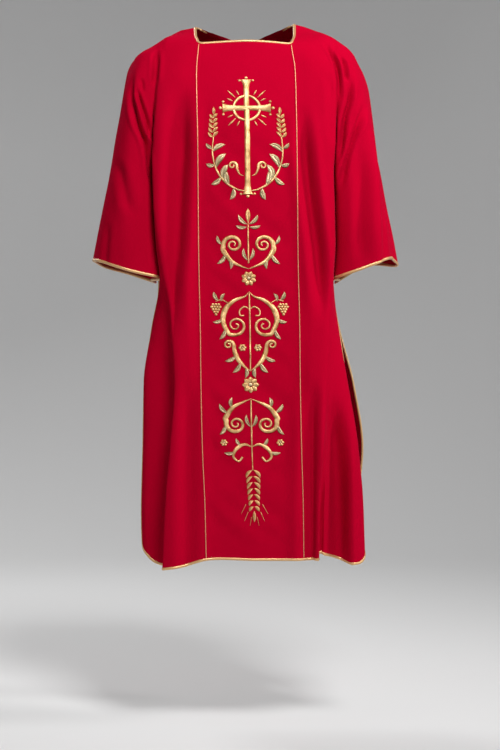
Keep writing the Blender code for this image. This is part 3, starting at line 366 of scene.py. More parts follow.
NECK_CORNER = 0.013      # how far the braid's rounding reaches from each front corner
CORNER_CLEAR = 1.3       # braid keeps this many reaches of its path bare beside a corner
OFF_CLOTH = 0.0006       # a trim's point further than this past the cloth's edge stays put
PIPING_INSET = 0.0012    # the cord's ends, from the braids
PIPING_STEP = 0.0007
PIPING_PITCH = 0.0060
PIPING_SIDES = 12
PIPING_PLY = 0.16        # how much its plies bulge

CLOTH_PIECES = ("front_panel", "front_side_left", "front_side_right", "back")
UV_GAP = 0.005           # uv distance across a place without cloth
UV_MOST = 0.05           # and the most between two columns
THREAD_PITCH = 0.0007    # of the cloth's weave
RIB_PITCH = 0.0009       # of the braid
PLY_PITCH = (0.0006, 0.0008)   # of the cord's strands, along and around
STITCH_PITCH = 0.00048   # of the satin stitch
RELIEF = 0.00012         # depth of the bump that shows threads and ribs
CORD_RELIEF = 0.00010

# Embroidery, in millimetres on the panel: across from its middle, down from the
# shoulder.  Satin stitch over padding stands SATIN_CROWN high where it is wide.
SATIN_STEP = 1.5
SATIN_CROWN = 2.3
SATIN_FULL = 8.0         # narrower stitching than this is lower
SATIN_SINK = 0.25        # how far the stitches' edges go into the cloth
SATIN_ACROSS = 0.004     # uv distance from the middle of a stroke to its edge
# Outline across a stroke: place from edge to edge, and share of its height there.
ROUND_STROKE = ((-1.0, -0.86, -0.5, 0.0, 0.5, 0.86, 1.0), (0.0, 0.55, 0.92, 1.0, 0.92, 0.55, 0.0))
VEINED_STROKE = ((-1.0, -0.82, -0.45, -0.1, 0.0, 0.1, 0.45, 0.82, 1.0),
                 (0.0, 0.62, 1.0, 0.62, 0.30, 0.62, 1.0, 0.62, 0.0))
KNOT_SIDES = 10
CROSS = dict(top=141, bar=204, foot=392, arm=49, waist=11.5, flare=24, ring=27)

RED = (0.360, 0.0005, 0.015, 1.0), (0.450, 0.0008, 0.021, 1.0)
GOLD = (0.50, 0.25, 0.08, 1.0), (0.84, 0.54, 0.26, 1.0)
# Dark and light of each embroidery thread: satin_thread mixes them by the thread's own uneven tone,
# as painted shade at the strokes' edges, and as painted sheen in slow patches.
SATIN = (0.30, 0.13, 0.022, 1.0), (0.93, 0.60, 0.27, 1.0)
LEAF = (0.11, 0.08, 0.02, 1.0), (0.78, 0.62, 0.36, 1.0)
CORD = (0.50, 0.19, 0.10, 1.0), (0.98, 0.48, 0.26, 1.0)

# Camera and studio.
CAMERA_PLACE = (0.0112, -4.0, -0.7808)
CAMERA_SENSOR = 36.0
CAMERA_LENS = 85.8
FLOOR_Z = -1.548
FLOOR_REACH = 3.4
BACKDROP_BEND = 1.9
BACKDROP_TOP = 1.7
BACKDROP_STEPS = 17
BACKDROP_TURNS = 96
FLOOR_RINGS = (0.6, 1.8)
PAPER = (0.62, 0.62, 0.62, 1.0)
PAPER_GLOW = 0.13
WORLD_STRENGTH = 0.08
MIDDLE = (0.0, 0.0, -0.5)
# Area lights: place, aim, size, power and spread in degrees.
LIGHTS = {
    "key": ((0.9, -2.5, 2.2), (0.0, 0.0, -0.36), (1.0, 1.0), 23, 70),
    "fill": ((-1.4, -3.6, 0.2), MIDDLE, (1.4, 1.4), 6, 180),
    "edge": ((2.8, -0.7, 0.6), (0.25, 0.0, -0.30), (0.5, 1.2), 19, 110),
    "rear": ((-1.9, 2.8, 1.6), MIDDLE, (1.2, 1.2), 62, 180),
    "top": ((-0.8, -0.8, 1.9), (-0.1, 0.0, -0.15), (0.9, 0.9), 4, 180),
}


# ---------------------------------------------------------------- curves
def hermite(t, span, a, slope_a, b, slope_b):
    """Cubic from a to b over a span, with its slopes at both ends."""
    return ((2 * t**3 - 3 * t**2 + 1) * a + (t**3 - 2 * t**2 + t) * span * slope_a
            + (3 * t**2 - 2 * t**3) * b + (t**3 - t**2) * span * slope_b)


def follow(x, v, at):
    """Smooth curve through the rows (x, v), free of overshoot, read at each value of at."""
    x, v, at = (np.asarray(values, float) for values in (x, v, at))
    h = np.diff(x)
    d = np.diff(v) / h
    slope = np.empty_like(v)
    slope[0], slope[-1] = d[0], d[-1]
    for i in range(1, len(v) - 1):
        a, b = d[i - 1], d[i]
        wa, wb = 2 * h[i] + h[i - 1], h[i] + 2 * h[i - 1]
        slope[i] = (wa + wb) / (wa / a + wb / b) if a * b > 0 else 0.0
    i = np.clip(np.searchsorted(x, at, side="right") - 1, 0, len(x) - 2)
    t = np.clip((at - x[i]) / h[i], 0.0, 1.0)
    return hermite(t, h[i], v[i], slope[i], v[i + 1], slope[i + 1])


def across(knots, steps):
    """Smooth curve through each section's knots, (rows, knots, 3), with steps between them."""
    gap = np.sqrt(np.linalg.norm(np.diff(knots, axis=1), axis=2)) + 1e-6
    span = np.diff(knots, axis=1) / gap[..., None]
    tangent = np.empty_like(knots)
    tangent[:, 0], tangent[:, -1] = span[:, 0], span[:, -1]
    before, after = gap[:, :-1, None], gap[:, 1:, None]
    tangent[:, 1:-1] = (span[:, :-1] * after + span[:, 1:] * before) / (before + after)
    columns = [knots[:, 0]]
    for k, count in enumerate(steps):
        columns += [hermite(t, gap[:, k, None], knots[:, k], tangent[:, k], knots[:, k + 1],
                            tangent[:, k + 1]) for t in np.arange(1, count + 1) / count]
    return np.stack(columns, axis=1)


def run_along(path):
    """Distance along a path, at each of its points."""
    return np.concatenate([[0.0], np.cumsum(np.linalg.norm(np.diff(path, axis=0), axis=1))])


def unit(v):
    return v / (np.linalg.norm(v, axis=-1, keepdims=True) + 1e-12)


def smooth(t):
    t = np.clip(t, 0.0, 1.0)
    return t * t * (3 - 2 * t)


# ---------------------------------------------------------------- sections
SIGN = {"left": 1.0, "right": -1.0}


def column(levels, points, at):
    """One column of the loft: smooth through its points, read at levels."""
    points = np.array(points, dtype=float)
    return np.stack([follow(levels, points[:, k], at) for k in range(3)], axis=1)


def from_shoulder(top, second, rows, points, at):
    """A column from a point of the top seam, over a second one, down through its points."""
    return column([0.0, ARCH_LEVEL, *rows["level"]], [top, second, *points], at)


def over_shoulder(top, rows, points, at):
    """A column whose second point lies on the shoulder's arch."""
    first = points[0]
    arch = (0.5 * (top[0] + first[0]), top[1] + ARCH_Y * (first[1] - top[1]),
            top[2] + ARCH_Z * (first[2] - top[2]))
    return from_shoulder(top, arch, rows, points, at)


def seam(side, key, level):
    """x or z of a sleeve's top seam."""
    return follow(SLEEVE_SEAM[side]["level"], SLEEVE_SEAM[side][key], level)


def shoulder_point(side, knot):
    x = SHOULDER_X[side][knot]
    return x, 0.0, float(np.interp(x, SHOULDER[side]["x"], SHOULDER[side]["z"]))


def neck_point(side):
    return SHOULDER[side]["x"][0], 0.0, SHOULDER[side]["z"][0]


def body_height(side, x, level, drop, yoke):
    """Height of a body knot: rows slope down to the sleeve only at the shoulder, from the
    yoke (x, z) on."""
    if level == NECK_LEVEL:
        share = np.clip((x - yoke[0]) / (seam(side, "x", level) - yoke[0]), 0, 1) ** 2
        return yoke[1] + (seam(side, "z", level) - yoke[1]) * share
    return PANEL["z"][-1] - drop if level == HEM_LEVEL else -level


def body_points(side, rows, knot, drop, yoke):
    """Places of one knot in every row; the hem hangs drop below the panel's."""
    return [(x, y, body_height(side, x, level, drop, yoke))
            for level, x, y in zip(rows["level"], rows[knot + "_x"], rows[knot + "_y"])]


def sleeve_columns(side, face, rows, start, at):
    """The sleeve's four columns beyond its underarm column (start: its own points)."""
    level, out = rows["level"], []
    power = np.interp(level, *SLEEVE_DROP)
    sag = (face > 0) * np.clip((level - CUFF_SAG_FROM) / (CUFF_LEVEL - CUFF_SAG_FROM), 0, 1)
    under_x, _, under_z = np.transpose(start)
    far_x, far_z = seam(side, "x", level), seam(side, "z", level)
    for knot in ("inner", "front", "outer"):
        x = rows[knot + "_x"]
        share = np.clip((x - under_x) / (far_x - under_x), 0, 1) ** power
        z = under_z + (far_z - under_z) * share - CUFF_SAG[side].get(knot, 0.0) * sag
        points = np.stack([x, rows[knot + "_y"], z], axis=1)
        out.append(over_shoulder(shoulder_point(side, knot), rows, points, at))
    top = SLEEVE_SEAM[side]
    points = np.stack([top["x"], top["y"] + face * SEAM_GAP / 2, top["z"]], axis=1)
    return [*out, column(top["level"], points, at)]


def side_knots(side, face, rows, hem, names, yoke, sleeve, at):
    """All knots of one side: (body columns, sleeve columns with their own start)."""
    columns = [over_shoulder(shoulder_point(side, name), rows,
                             body_points(side, rows, name, hem[name], yoke), at) for name in names]
    level = sleeve["level"]
    start = [(x, face * UNDERARM_Y, min(-row, body_height(side, x, row, 0.0, yoke)))
             for row, x in zip(level, sleeve["under_x"])]
    cuff = at[at <= CUFF_LEVEL]
    under = np.stack([follow(level, sleeve["under_x"], cuff),
                      np.full(len(cuff), face * SEAM_GAP / 2), -cuff], axis=1)
    joined = cuff <= UNDERARM_LEVEL
    under[joined] = columns[-1][:len(cuff)][joined]
    return columns, [under, *sleeve_columns(side, face, sleeve, start, cuff)]


def mirrored(columns, side):
    return [c * (SIGN[side], 1.0, 1.0) for c in columns]


def front_knots(side, at):
    hem = FRONT_HEM[side]
    columns, arm = side_knots(side, -1, FRONT_BODY[side], hem, ("ridge", "tuck", "side", "edge"),
                              (PANEL["half"][0], PANEL["z"][0]), FRONT_SLEEVE[side], at)
    line = np.stack([SIGN[side] * PANEL["centre_x"] + PANEL["half"], PANEL["edge_y"],
                     PANEL["z"]], axis=1)
    panel = from_shoulder(neck_point(side), NECK_SIDE, PANEL, line, at)
    mid = 0.5 * (panel + columns[0])
    turn = np.clip((at - HEM_LEVEL + HEM_TURN) / HEM_TURN, 0, 1) ** 2
    mid[:, 1] -= MID_OUT * np.clip(at / MID_FULL, 0, 1)
    mid[:, 2] += (0.5 * hem["ridge"] - hem["mid"]) * turn
    return mirrored([panel, mid, *columns], side), mirrored(arm, side)


def back_knots(side, at):
    rows = dict(BACK_BODY, centre_x=0 * BACK_BODY["level"])
    out = follow(BACK_EDGE_OUT[side]["level"], BACK_EDGE_OUT[side]["out"], rows["level"])
    rows["edge_x"] = rows["edge_x"] + out
    rows["side_x"] = rows["side_x"] + BACK_SIDE_OUT * out
    columns, arm = side_knots(side, 1, rows, BACK_HEM, ("ridge", "side", "edge"), BACK_YOKE,
                              BACK_SLEEVE[side], at)
    middle, points = (body_points(side, rows, knot, BACK_HEM[knot], BACK_YOKE)
                      for knot in ("centre", "point"))
    centre = column([0.0, *rows["level"]], [(0.0, BACK_NECK_Y, -BACK_NECK_DROP), *middle], at)
    point = over_shoulder(neck_point(side), rows, points, at)
    return (mirrored([centre, 0.5 * (centre + point), point, *columns], side),
            mirrored(arm, side))


# ---------------------------------------------------------------- the cloth
class Cloth:
    """Points, quads and outward normals of the whole garment's outer face."""

    def __init__(self):
        self.points = np.empty((0, 3))
        self.face = np.empty(0)          # -1 on the front, +1 on the back
        self.quads = {}                  # piece name -> list of quad arrays
        self.locked = []                 # (points, axis that a normal must not lean along)
        self.seams = []                  # (points beside a top seam, points along it)

    def grid(self, points, face):
        """Adds a grid of points and returns their indices; rows may hold nan."""
        index = np.arange(points[..., 0].size).reshape(points.shape[:2]) + len(self.points)
        self.points = np.concatenate([self.points, points.reshape(-1, 3)])
        self.face = np.concatenate([self.face, np.full(index.size, float(face))])
        return index

    def cover(self, index, piece, flip):
        """Quads over an index grid, for one piece."""
        a, b, c, d = index[:-1, :-1], index[1:, :-1], index[1:, 1:], index[:-1, 1:]
        quads = np.stack([a, d, c, b] if flip else [a, b, c, d], axis=-1).reshape(-1, 4)
        self.quads.setdefault(piece, []).append(quads)

    def finish(self):
        """Press the folds and the fine unevenness in, and keep the normals."""
        self.quads = {name: np.concatenate(parts) for name, parts in self.quads.items()}
        self.free = np.ones(len(self.points))
        for points, axis in self.locked:
            if axis == 1:
                self.free[points] = 0.0
        self.normals = self.face_normals()
        for face, folds in FOLDS.items():
            for depth, inner, outer, *path in folds:
                self.press(face, depth / 1000, inner / 1000, outer / 1000, np.array(path) / 1000)
        self.normals = self.face_normals()
        self.swell()
        self.pucker()
        self.dip_seams()
        self.normals = self.face_normals()

    def face_normals(self):
        quads = np.concatenate(list(self.quads.values()))
        a, b, c, d = (self.points[quads[:, k]] for k in range(4))
        normal = unit(np.cross(c - a, d - b))
        total = np.zeros_like(self.points)
        for k in range(4):
            np.add.at(total, quads[:, k], normal)
        for points, axis in self.locked:
            total[points, axis] = 0.0
        return unit(total)

    def raise_by(self, height):
        """Move each point out along its normal."""
        self.points += self.normals * height[:, None]

    def press(self, face, depth, inner, outer, path):
        """One trough with soft banks (or a ridge) along a path of (across, down)."""
        x, down = self.points[:, 0], -self.points[:, 2]
        first, last = path[0, 1], path[-1, 1]
        line = follow(path[:, 1], path[:, 0], down)
        run = (down - first) / (last - first)
        fade = smooth(run / FOLD_FADE)
        if last < HEM_LEVEL:
            fade = fade * smooth((1 - run) / FOLD_FADE)
        away = (x - line) * np.sign(line + 1e-9)
        away = np.abs(away) / np.where(away > 0, outer, inner)
        bank = np.exp(-((away - BANK_PLACE) / BANK_WIDTH) ** 2)
        push = np.exp(-away ** 2) - FOLD_BANK * bank
        push *= depth * fade * self.free * (self.face == face)
        self.raise_by(-push * np.clip(1.5 * face * self.normals[:, 1], 0, 1))

    def swell(self):
        """The slow unevenness that soft cloth keeps wherever nothing holds it."""
        x, y, z = self.points.T
        drift = np.zeros(len(x))
        for size, height, turn in SWELLS:
            drift += height * np.sin(x / size + turn) * np.sin(z / (2.4 * size) + 2.1 * turn
                                                               + 1.3 * np.sin(y / size))
        self.raise_by(drift * self.free)

    def pucker(self):
        """Soft waves across the middle of the panel, where stitching draws the cloth in."""
        x, z = self.points[:, 0], self.points[:, 2]
        middle, half, rim = PUCKER_X
        reach = smooth((half - np.abs(x - middle)) / rim) * (self.face < 0)
        reach *= smooth((-z - PUCKER_TOP[0]) / PUCKER_TOP[1])
        reach *= smooth((PUCKER_FOOT[0] + z) / PUCKER_FOOT[1])
        wave = np.zeros(len(x))
        for down, over, height, turn in PUCKERS:
            wave += height * (np.sin(2 * np.pi * z / down + turn + 0.8 * np.sin(19 * x + turn))
                              * np.cos(2 * np.pi * x / over + 2.6 * turn
                                       + 1.2 * np.sin(11 * z + turn)))
        self.raise_by(wave * reach)

    def dip_seams(self):
        """A dip along each top seam, with the allowances' soft rise beside it."""
        for near, along in self.seams:
            points, line = self.points[near], self.points[along]
            away = np.full(len(near), 1.0)
            for a, b in zip(line, line[1:]):
                t = np.clip((points - a) @ (b - a) / ((b - a) @ (b - a)), 0, 1)
                away = np.minimum(away, np.linalg.norm(points - a - t[:, None] * (b - a), axis=1))
            lift = SEAM_RISE * (1 - np.exp(-(away / SEAM_DIP) ** 2))
            lift *= np.exp(-(away / SEAM_SPREAD) ** 4) * self.free[near]
            self.points[near] += self.normals[near] * lift[:, None]


def row_of(level):
    return int(np.searchsorted(LEVELS, level - 1e-9))


NECK_ROW, UNDER_ROW, CUFF_ROW = (row_of(v) for v in (NECK_LEVEL, UNDERARM_LEVEL, CUFF_LEVEL))


def stack(columns, rows):
    """Some rows of a list of columns, as (rows, columns, 3)."""
    return np.stack([points[rows] for points in columns], axis=1)


def side_of(grid, side, count):
    """A view of one side's last count columns and the one before, out to the slit edge."""
    return grid[:, -count - 1:] if side == "left" else grid[:, count::-1]


def round_corner(columns, steps, shape):
    """Give the hem its round corner; the columns run out to the slit edge."""
    first = -steps[-1] - steps[-2] - 1
    hem = columns[-1, first:]
    run = run_along(hem[:, :2])
    shift = np.zeros(columns.shape[1])
    shift[first:] = (PANEL["z"][-1] - hem[:, 2]
                     - follow(shape["at"], shape["drop"], run / run[-1]))
    weight = np.clip((LEVELS - CORNER_FROM) / (HEM_LEVEL - CORNER_FROM), 0, 1)
    columns[..., 2] += (weight ** CORNER_GAIN)[:, None] * shift


def to_shoulder(side, row, face):
    """Lay a row exactly on the shoulder seam."""
    row[:, 1] = face * SEAM_GAP / 2
    row[:, 2] = np.interp(np.abs(row[:, 0]), SHOULDER[side]["x"], SHOULDER[side]["z"])


def lay_sleeve(cloth, points, body, side, face, piece, flip, neck):
    """A sleeve that shares the body's edge points down to the underarm; neck is the
    number of the body's columns that lie over the shoulder."""
    index = cloth.grid(points, face)
    body = body[:, ::-1] if side == "left" else body
    index[:UNDER_ROW + 1, 0] = body[:UNDER_ROW + 1, 0]
    cloth.cover(index, piece, flip)
    cloth.locked.append((np.concatenate([index[0], index[:, -1], index[UNDER_ROW + 1:, 0]]), 1))
    shoulder = body[:SEAM_ROWS, neck:0:-1]
    cloth.seams.append((np.concatenate([shoulder.ravel(), np.unique(index)]),
                        np.concatenate([shoulder[0], index[0], index[1:, -1]])))
    return index


def lay_front(cloth):
    """The front's index grids: the body, the two sleeves, and the panel's first column."""
    sides = {side: front_knots(side, LEVELS) for side in SIGN}
    centre = column(PANEL["level"], np.stack(
        [PANEL["centre_x"], PANEL["centre_y"], PANEL["z"]], axis=1), LEVELS)
    centre[:, 2] += NECK_BOW * np.clip(1 - (LEVELS - NECK_LEVEL) / NECK_BOW_FADE, 0, 1) ** 2
    half, arm, steps = sum(FRONT_STEPS), sum(SLEEVE_STEPS[-1]), SLEEVE_STEPS[-1]
    last = 2 * (half + PANEL_STEPS)
    body = np.full((len(LEVELS), last + 1, 3), np.nan)
    arms = {side: np.full((CUFF_ROW + 1, arm + 1, 3), np.nan) for side in SIGN}
    left_body, left_arm = sides["left"]
    right_body, right_arm = sides["right"]
    panel_steps = FRONT_STEPS[::-1] + (PANEL_STEPS,) * 2 + FRONT_STEPS
    front = right_body[::-1] + [centre] + left_body
    # from sleeve to sleeve down to the underarm, then the body alone
    rows = slice(NECK_ROW, UNDER_ROW)
    whole = across(stack(right_arm[:0:-1] + front + left_arm[1:], rows),
                   steps[::-1] + panel_steps + steps)
    arms["right"][rows], arms["left"][rows] = whole[:, arm::-1], whole[:, -arm - 1:]
    body[rows] = whole[:, arm:-arm]
    body[UNDER_ROW:] = across(stack(front, slice(UNDER_ROW, None)), panel_steps)
    # over the shoulders, and the sleeves below the underarm
    top, low = slice(0, NECK_ROW), slice(UNDER_ROW, CUFF_ROW + 1)
    for side, (columns, sleeve) in sides.items():
        points = across(stack(columns + sleeve[1:], top), FRONT_STEPS + steps)
        arms[side][top] = points[:, half:]
        arms[side][low] = across(stack(sleeve, low), steps)
        part = side_of(body, side, half)
        part[top] = points[:, :half + 1]
        round_corner(part, FRONT_STEPS, CORNER[side])
        to_shoulder(side, part[0], -1)
        to_shoulder(side, arms[side][0], -1)
    index = cloth.grid(body, -1)
    cloth.cover(index[:, :half + 1], "front_side_right", False)
    cloth.cover(index[NECK_ROW:, half:last - half + 1], "front_panel", False)
    cloth.cover(index[:, last - half:], "front_side_left", False)
    sleeves = {side: lay_sleeve(cloth, arms[side], index, side, -1, "front_side_" + side,
                                side == "right", half) for side in SIGN}
    for j in (half, last - half):
        cloth.locked.append((index[NECK_ROW:, j], 0))
    cloth.locked.append((np.concatenate([index[0, :half + 1], index[0, last - half:]]), 1))
    return index, sleeves, half


def lay_back(cloth):
    """The back's index grids: the body, the two sleeves, and the neckline's end columns."""
    sides = {side: back_knots(side, LEVELS) for side in SIGN}
    half, steps = sum(BACK_STEPS), (1,) + BACK_STEPS
    ends = BACK_STEPS[0] + BACK_STEPS[1]
    body = np.full((len(LEVELS), 2 * half + 1, 3), np.nan)
    arms = {}
    top = slice(0, UNDER_ROW)
    for side, (columns, sleeve) in sides.items():
        # the mirror side's first knot leads the curve over the middle
        columns = [sides["right" if side == "left" else "left"][0][1], *columns]
        low = across(stack(columns, slice(None)), steps)[:, 1:]
        joined = across(stack(columns + sleeve[1:], top), steps + SLEEVE_STEPS[1])[:, 1:]
        low[top] = joined[:, :half + 1]
        arms[side] = across(stack(sleeve, slice(None)), SLEEVE_STEPS[1])
        arms[side][top] = joined[:, half:]
        side_of(body, side, half)[:] = low
    for side, sign in SIGN.items():
        part = side_of(body, side, half)
        round_corner(part, BACK_STEPS, CORNER["back"])
        row = part[0]
        end, rise = SHOULDER[side]["x"][0], SHOULDER[side]["z"][0] + BACK_NECK_DROP
        out = (np.arange(ends + 1) / ends) ** BACK_NECK_SPREAD
        row[:ends + 1] = np.stack([sign * end * out, BACK_NECK_Y * (1 - out ** 2),
                                   -BACK_NECK_DROP + rise * out ** 2], axis=1)
        to_shoulder(side, row[ends:], 1)
        to_shoulder(side, arms[side][0], 1)
    index = cloth.grid(body, 1)
    cloth.cover(index, "back", True)
    first = half - ends
    sleeves = {side: lay_sleeve(cloth, arms[side], index, side, 1, "back", side == "left", first)
               for side in SIGN}
    cloth.locked.append((np.concatenate([index[0, :first + 1], index[0, half + ends:]]), 1))
    return index, sleeves, (first, half + ends)


# ---------------------------------------------------------------- meshes
def add_object(name, data):
    made = bpy.data.objects.new(name, data)
    bpy.context.scene.collection.objects.link(made)
    return made


def make_object(name, points, faces, uv, finish, sharp=50):
    """A mesh object that rides on the root body; uv is one pair for each point."""
    mesh = bpy.data.meshes.new(name)
    mesh.from_pydata(np.asarray(points).tolist(), [], [list(map(int, face)) for face in faces])
    mesh.materials.append(finish)
    corners = np.empty(len(mesh.loops), dtype=np.int32)
    mesh.loops.foreach_get("vertex_index", corners)
    layer = mesh.uv_layers.new(name="UVMap")
    layer.data.foreach_set("uv", np.asarray(uv, dtype=np.float32)[corners].ravel())
    mesh.shade_smooth()
    mesh.set_sharp_from_angle(angle=np.radians(sharp))
    made = add_object(name, mesh)
    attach(made, "root")
    return made


def shell(name, quads, points, normals, uv, finish, shift):
    """Closed cloth wall: the outer face, the inner face one wall behind it, and the rim."""
    used, small = np.unique(quads, return_inverse=True)
    small = small.reshape(quads.shape)
    outer = points[used] + shift[used]
    inner = outer - normals[used] * WALL
    count = len(used)
    edges = np.concatenate([small[:, [k, (k + 1) % 4]] for k in range(4)]).tolist()
    shared = {tuple(edge) for edge in edges}
    a, b = np.array([edge for edge in edges if (edge[1], edge[0]) not in shared]).T
    rim = np.stack([b, a, a + count, b + count], axis=1)
    faces = np.concatenate([small, small[:, ::-1] + count, rim])
    return make_object(name, np.concatenate([outer, inner]), faces,
                       np.concatenate([uv[used], uv[used]]), finish)


def tube_faces(index, flip=False, caps=True):
    """Faces of a tube through rings of points, all turned over by flip."""
    a, b = index[:-1], index[1:]
    faces = np.stack([a, np.roll(a, -1, 1), np.roll(b, -1, 1), b], axis=-1).reshape(-1, 4).tolist()
    if caps:
        faces += [index[0, ::-1].tolist(), index[-1].tolist()]
    return [face[:1] + face[:0:-1] for face in faces] if flip else faces


def swept(name, rings, finish, closed, sharp=50):
    """A tube through rings of points, (rings, points, 3), that turn clockwise about its way;
    an open one gets end caps."""
    n, m = rings.shape[:2]
    run = run_along(rings.mean(axis=1))
    girth = np.linalg.norm(rings[n // 2] - np.roll(rings[n // 2], 1, axis=0), axis=1)
    girth = np.cumsum(girth) - girth[0]
    index = np.arange(n * m).reshape(n, m)
    if closed:
        index = np.concatenate([index, index[:1]])
    faces = tube_faces(index, caps=not closed)
    uv = np.stack(np.meshgrid(run, girth, indexing="ij"), axis=-1).reshape(-1, 2)
    return make_object(name, rings.reshape(-1, 3), faces, uv, finish, sharp)


# ---------------------------------------------------------------- bindings
def clear_corners(path, corners, reach):
    """Which points of a path stay: none closer to a corner than reach, but the corner."""
    run = run_along(path)
    keep = np.ones(len(path), bool)
    for corner in corners:
        keep &= np.abs(run - run[corner]) > reach
    keep[list(corners)] = True
    return keep


def rounded_corner(values, run, at, radius):
    """Replace the stretch round run[at] by a quadratic curve, in place."""
    near = np.flatnonzero(np.abs(run - run[at]) < radius)
    first, last = near[0], near[-1]
    t = ((run[near] - run[first]) / (run[last] - run[first]))[:, None]
    start, middle, end = values[first].copy(), values[at].copy(), values[last].copy()
    values[near] = (1 - t) ** 2 * start + 2 * t * (1 - t) * middle + t ** 2 * end


def settle(tree, point, normal):
    """The place on the cloth under a point near it, if there is cloth there."""
    place, out, _, _ = tree.find_nearest(Vector(point))
    place, out = np.array(place), np.array(out)
    if out @ normal < 0:
        out = -out
    off = point - place
    height = off @ out
    return point if np.linalg.norm(off - height * out) > OFF_CLOTH else point - height * out


def roll_profile(reach):
    """Outline of the rolled binding, as (distance in from the cloth's edge, height above
    its outer face); the slot takes the cloth."""
    high = WALL / 2 + BINDING_LIFT + BINDING_THICK
    slot = WALL / 2 + BINDING_LIFT * 0.5
    first = np.arcsin(slot / high)
    wide = (reach + BINDING_TIP) / (1 + np.cos(first))
    roll = [(wide - BINDING_TIP + wide * np.cos(a), -WALL / 2 + high * np.sin(a))
            for a in np.linspace(first, 2 * np.pi - first, ROLL_POINTS)]
    return roll + [(SLOT_MOUTH, -WALL / 2 - slot), (SLOT_END, -WALL / 2),
                   (SLOT_MOUTH, -WALL / 2 + slot)]


def binding(name, path, normals, inner, closed, tree, finish, reach, corners):
    """Braid folded over a cloth edge: inner is a point of the cloth beside each edge point."""
    keep = clear_corners(path, corners, CORNER_CLEAR * reach)
    path, normals, inner = path[keep], normals[keep], inner[keep]
    ahead = unit(np.roll(path, -1, axis=0) - path)
    behind = np.roll(ahead, 1, axis=0)
    if not closed:
        ahead[-1], behind[0] = behind[-1], ahead[0]
    along = unit(ahead + behind)
    mitre = 1 / np.clip((along * ahead).sum(axis=1), MITRE_LEAST, 1)
    into = unit(np.cross(normals, along))
    into *= np.sign((into * (inner - path)).sum(axis=1))[:, None]
    out = unit(np.cross(into, along))
    out *= np.sign((out * normals).sum(axis=1))[:, None]
    profile = roll_profile(reach)
    rings = []
    for point, inward, upward, stretch in zip(path, into, out, mitre):
        ring = []
        for across_edge, height in profile:
            foot = point + inward * across_edge * stretch
            if across_edge > ON_CLOTH:
                foot = settle(tree, foot, upward)
            ring.append(foot + upward * height)
        rings.append(ring)
    rings = np.array(rings)
    start, second, far = rings[0, 0], rings[0, 1], rings[0, ROLL_POINTS // 2 - 1]
    if np.cross(second - start, far - start) @ along[0] > 0:
        rings = rings[:, ::-1]
    return swept(name, rings, finish, closed)


def piping(name, path, normals, finish):
    """Two-ply cord laid in the seam beside the panel, its plies worked as a twist."""
    run = run_along(path)
    at = np.arange(PIPING_INSET, run[-1] - PIPING_INSET, PIPING_STEP)
    line, out = (np.stack([np.interp(at, run, values[:, k]) for k in range(3)], axis=1)
                 for values in (path, normals))
    out = unit(out)
    side = np.cross(unit(np.gradient(line, axis=0)), out)
    angles = np.arange(PIPING_SIDES) * 2 * np.pi / PIPING_SIDES
    twist = 2 * np.pi * at[:, None] / PIPING_PITCH
    radius = 0.5 * (1 + PIPING_PLY * np.cos(2 * (angles[None] - twist))) / (1 + PIPING_PLY)
    x = PIPING_WIDTH * radius * np.cos(angles)
    y = PIPING_THICK * (radius * np.sin(angles) + 0.5) + BINDING_LIFT
    rings = line[:, None] + side[:, None] * x[..., None] + out[:, None] * y[..., None]
    return swept(name, rings, finish, False, sharp=180)


# ---------------------------------------------------------------- embroidery
def sampled(points, step):
    """A smooth curve through the points, read about step apart."""
    points = np.asarray(points, float)
    if len(points) == 2:
        count = max(2, int(np.linalg.norm(points[1] - points[0]) / step) + 1)
        return points[0] + np.linspace(0, 1, count)[:, None] * (points[1] - points[0])
    padded = np.concatenate([[2 * points[0] - points[1]], points,
                             [2 * points[-1] - points[-2]]])
    out = []
    for p0, p1, p2, p3 in zip(padded, padded[1:], padded[2:], padded[3:]):
        count = max(1, int(np.linalg.norm(p2 - p1) / step))
        out += [hermite(t, 0.5, p1, p2 - p0, p2, p3 - p1) for t in np.arange(count) / count]
    return np.array([*out, points[-1]])


def around(centre, radius, degrees):
    """A place at a radius round a centre; degrees from the right, plus is clockwise."""
    a = np.radians(degrees)
    return centre[0] + radius * np.cos(a), centre[1] + radius * np.sin(a)


def volute(centre, outer, inner, start, turn):
    """Points of a spiral that winds in; start and turn in degrees."""
    share = np.linspace(0, 1, max(4, int(abs(turn) / 24)) + 1)
    return [around(centre, outer + (inner - outer) * s ** 0.8, start + turn * s) for s in share]


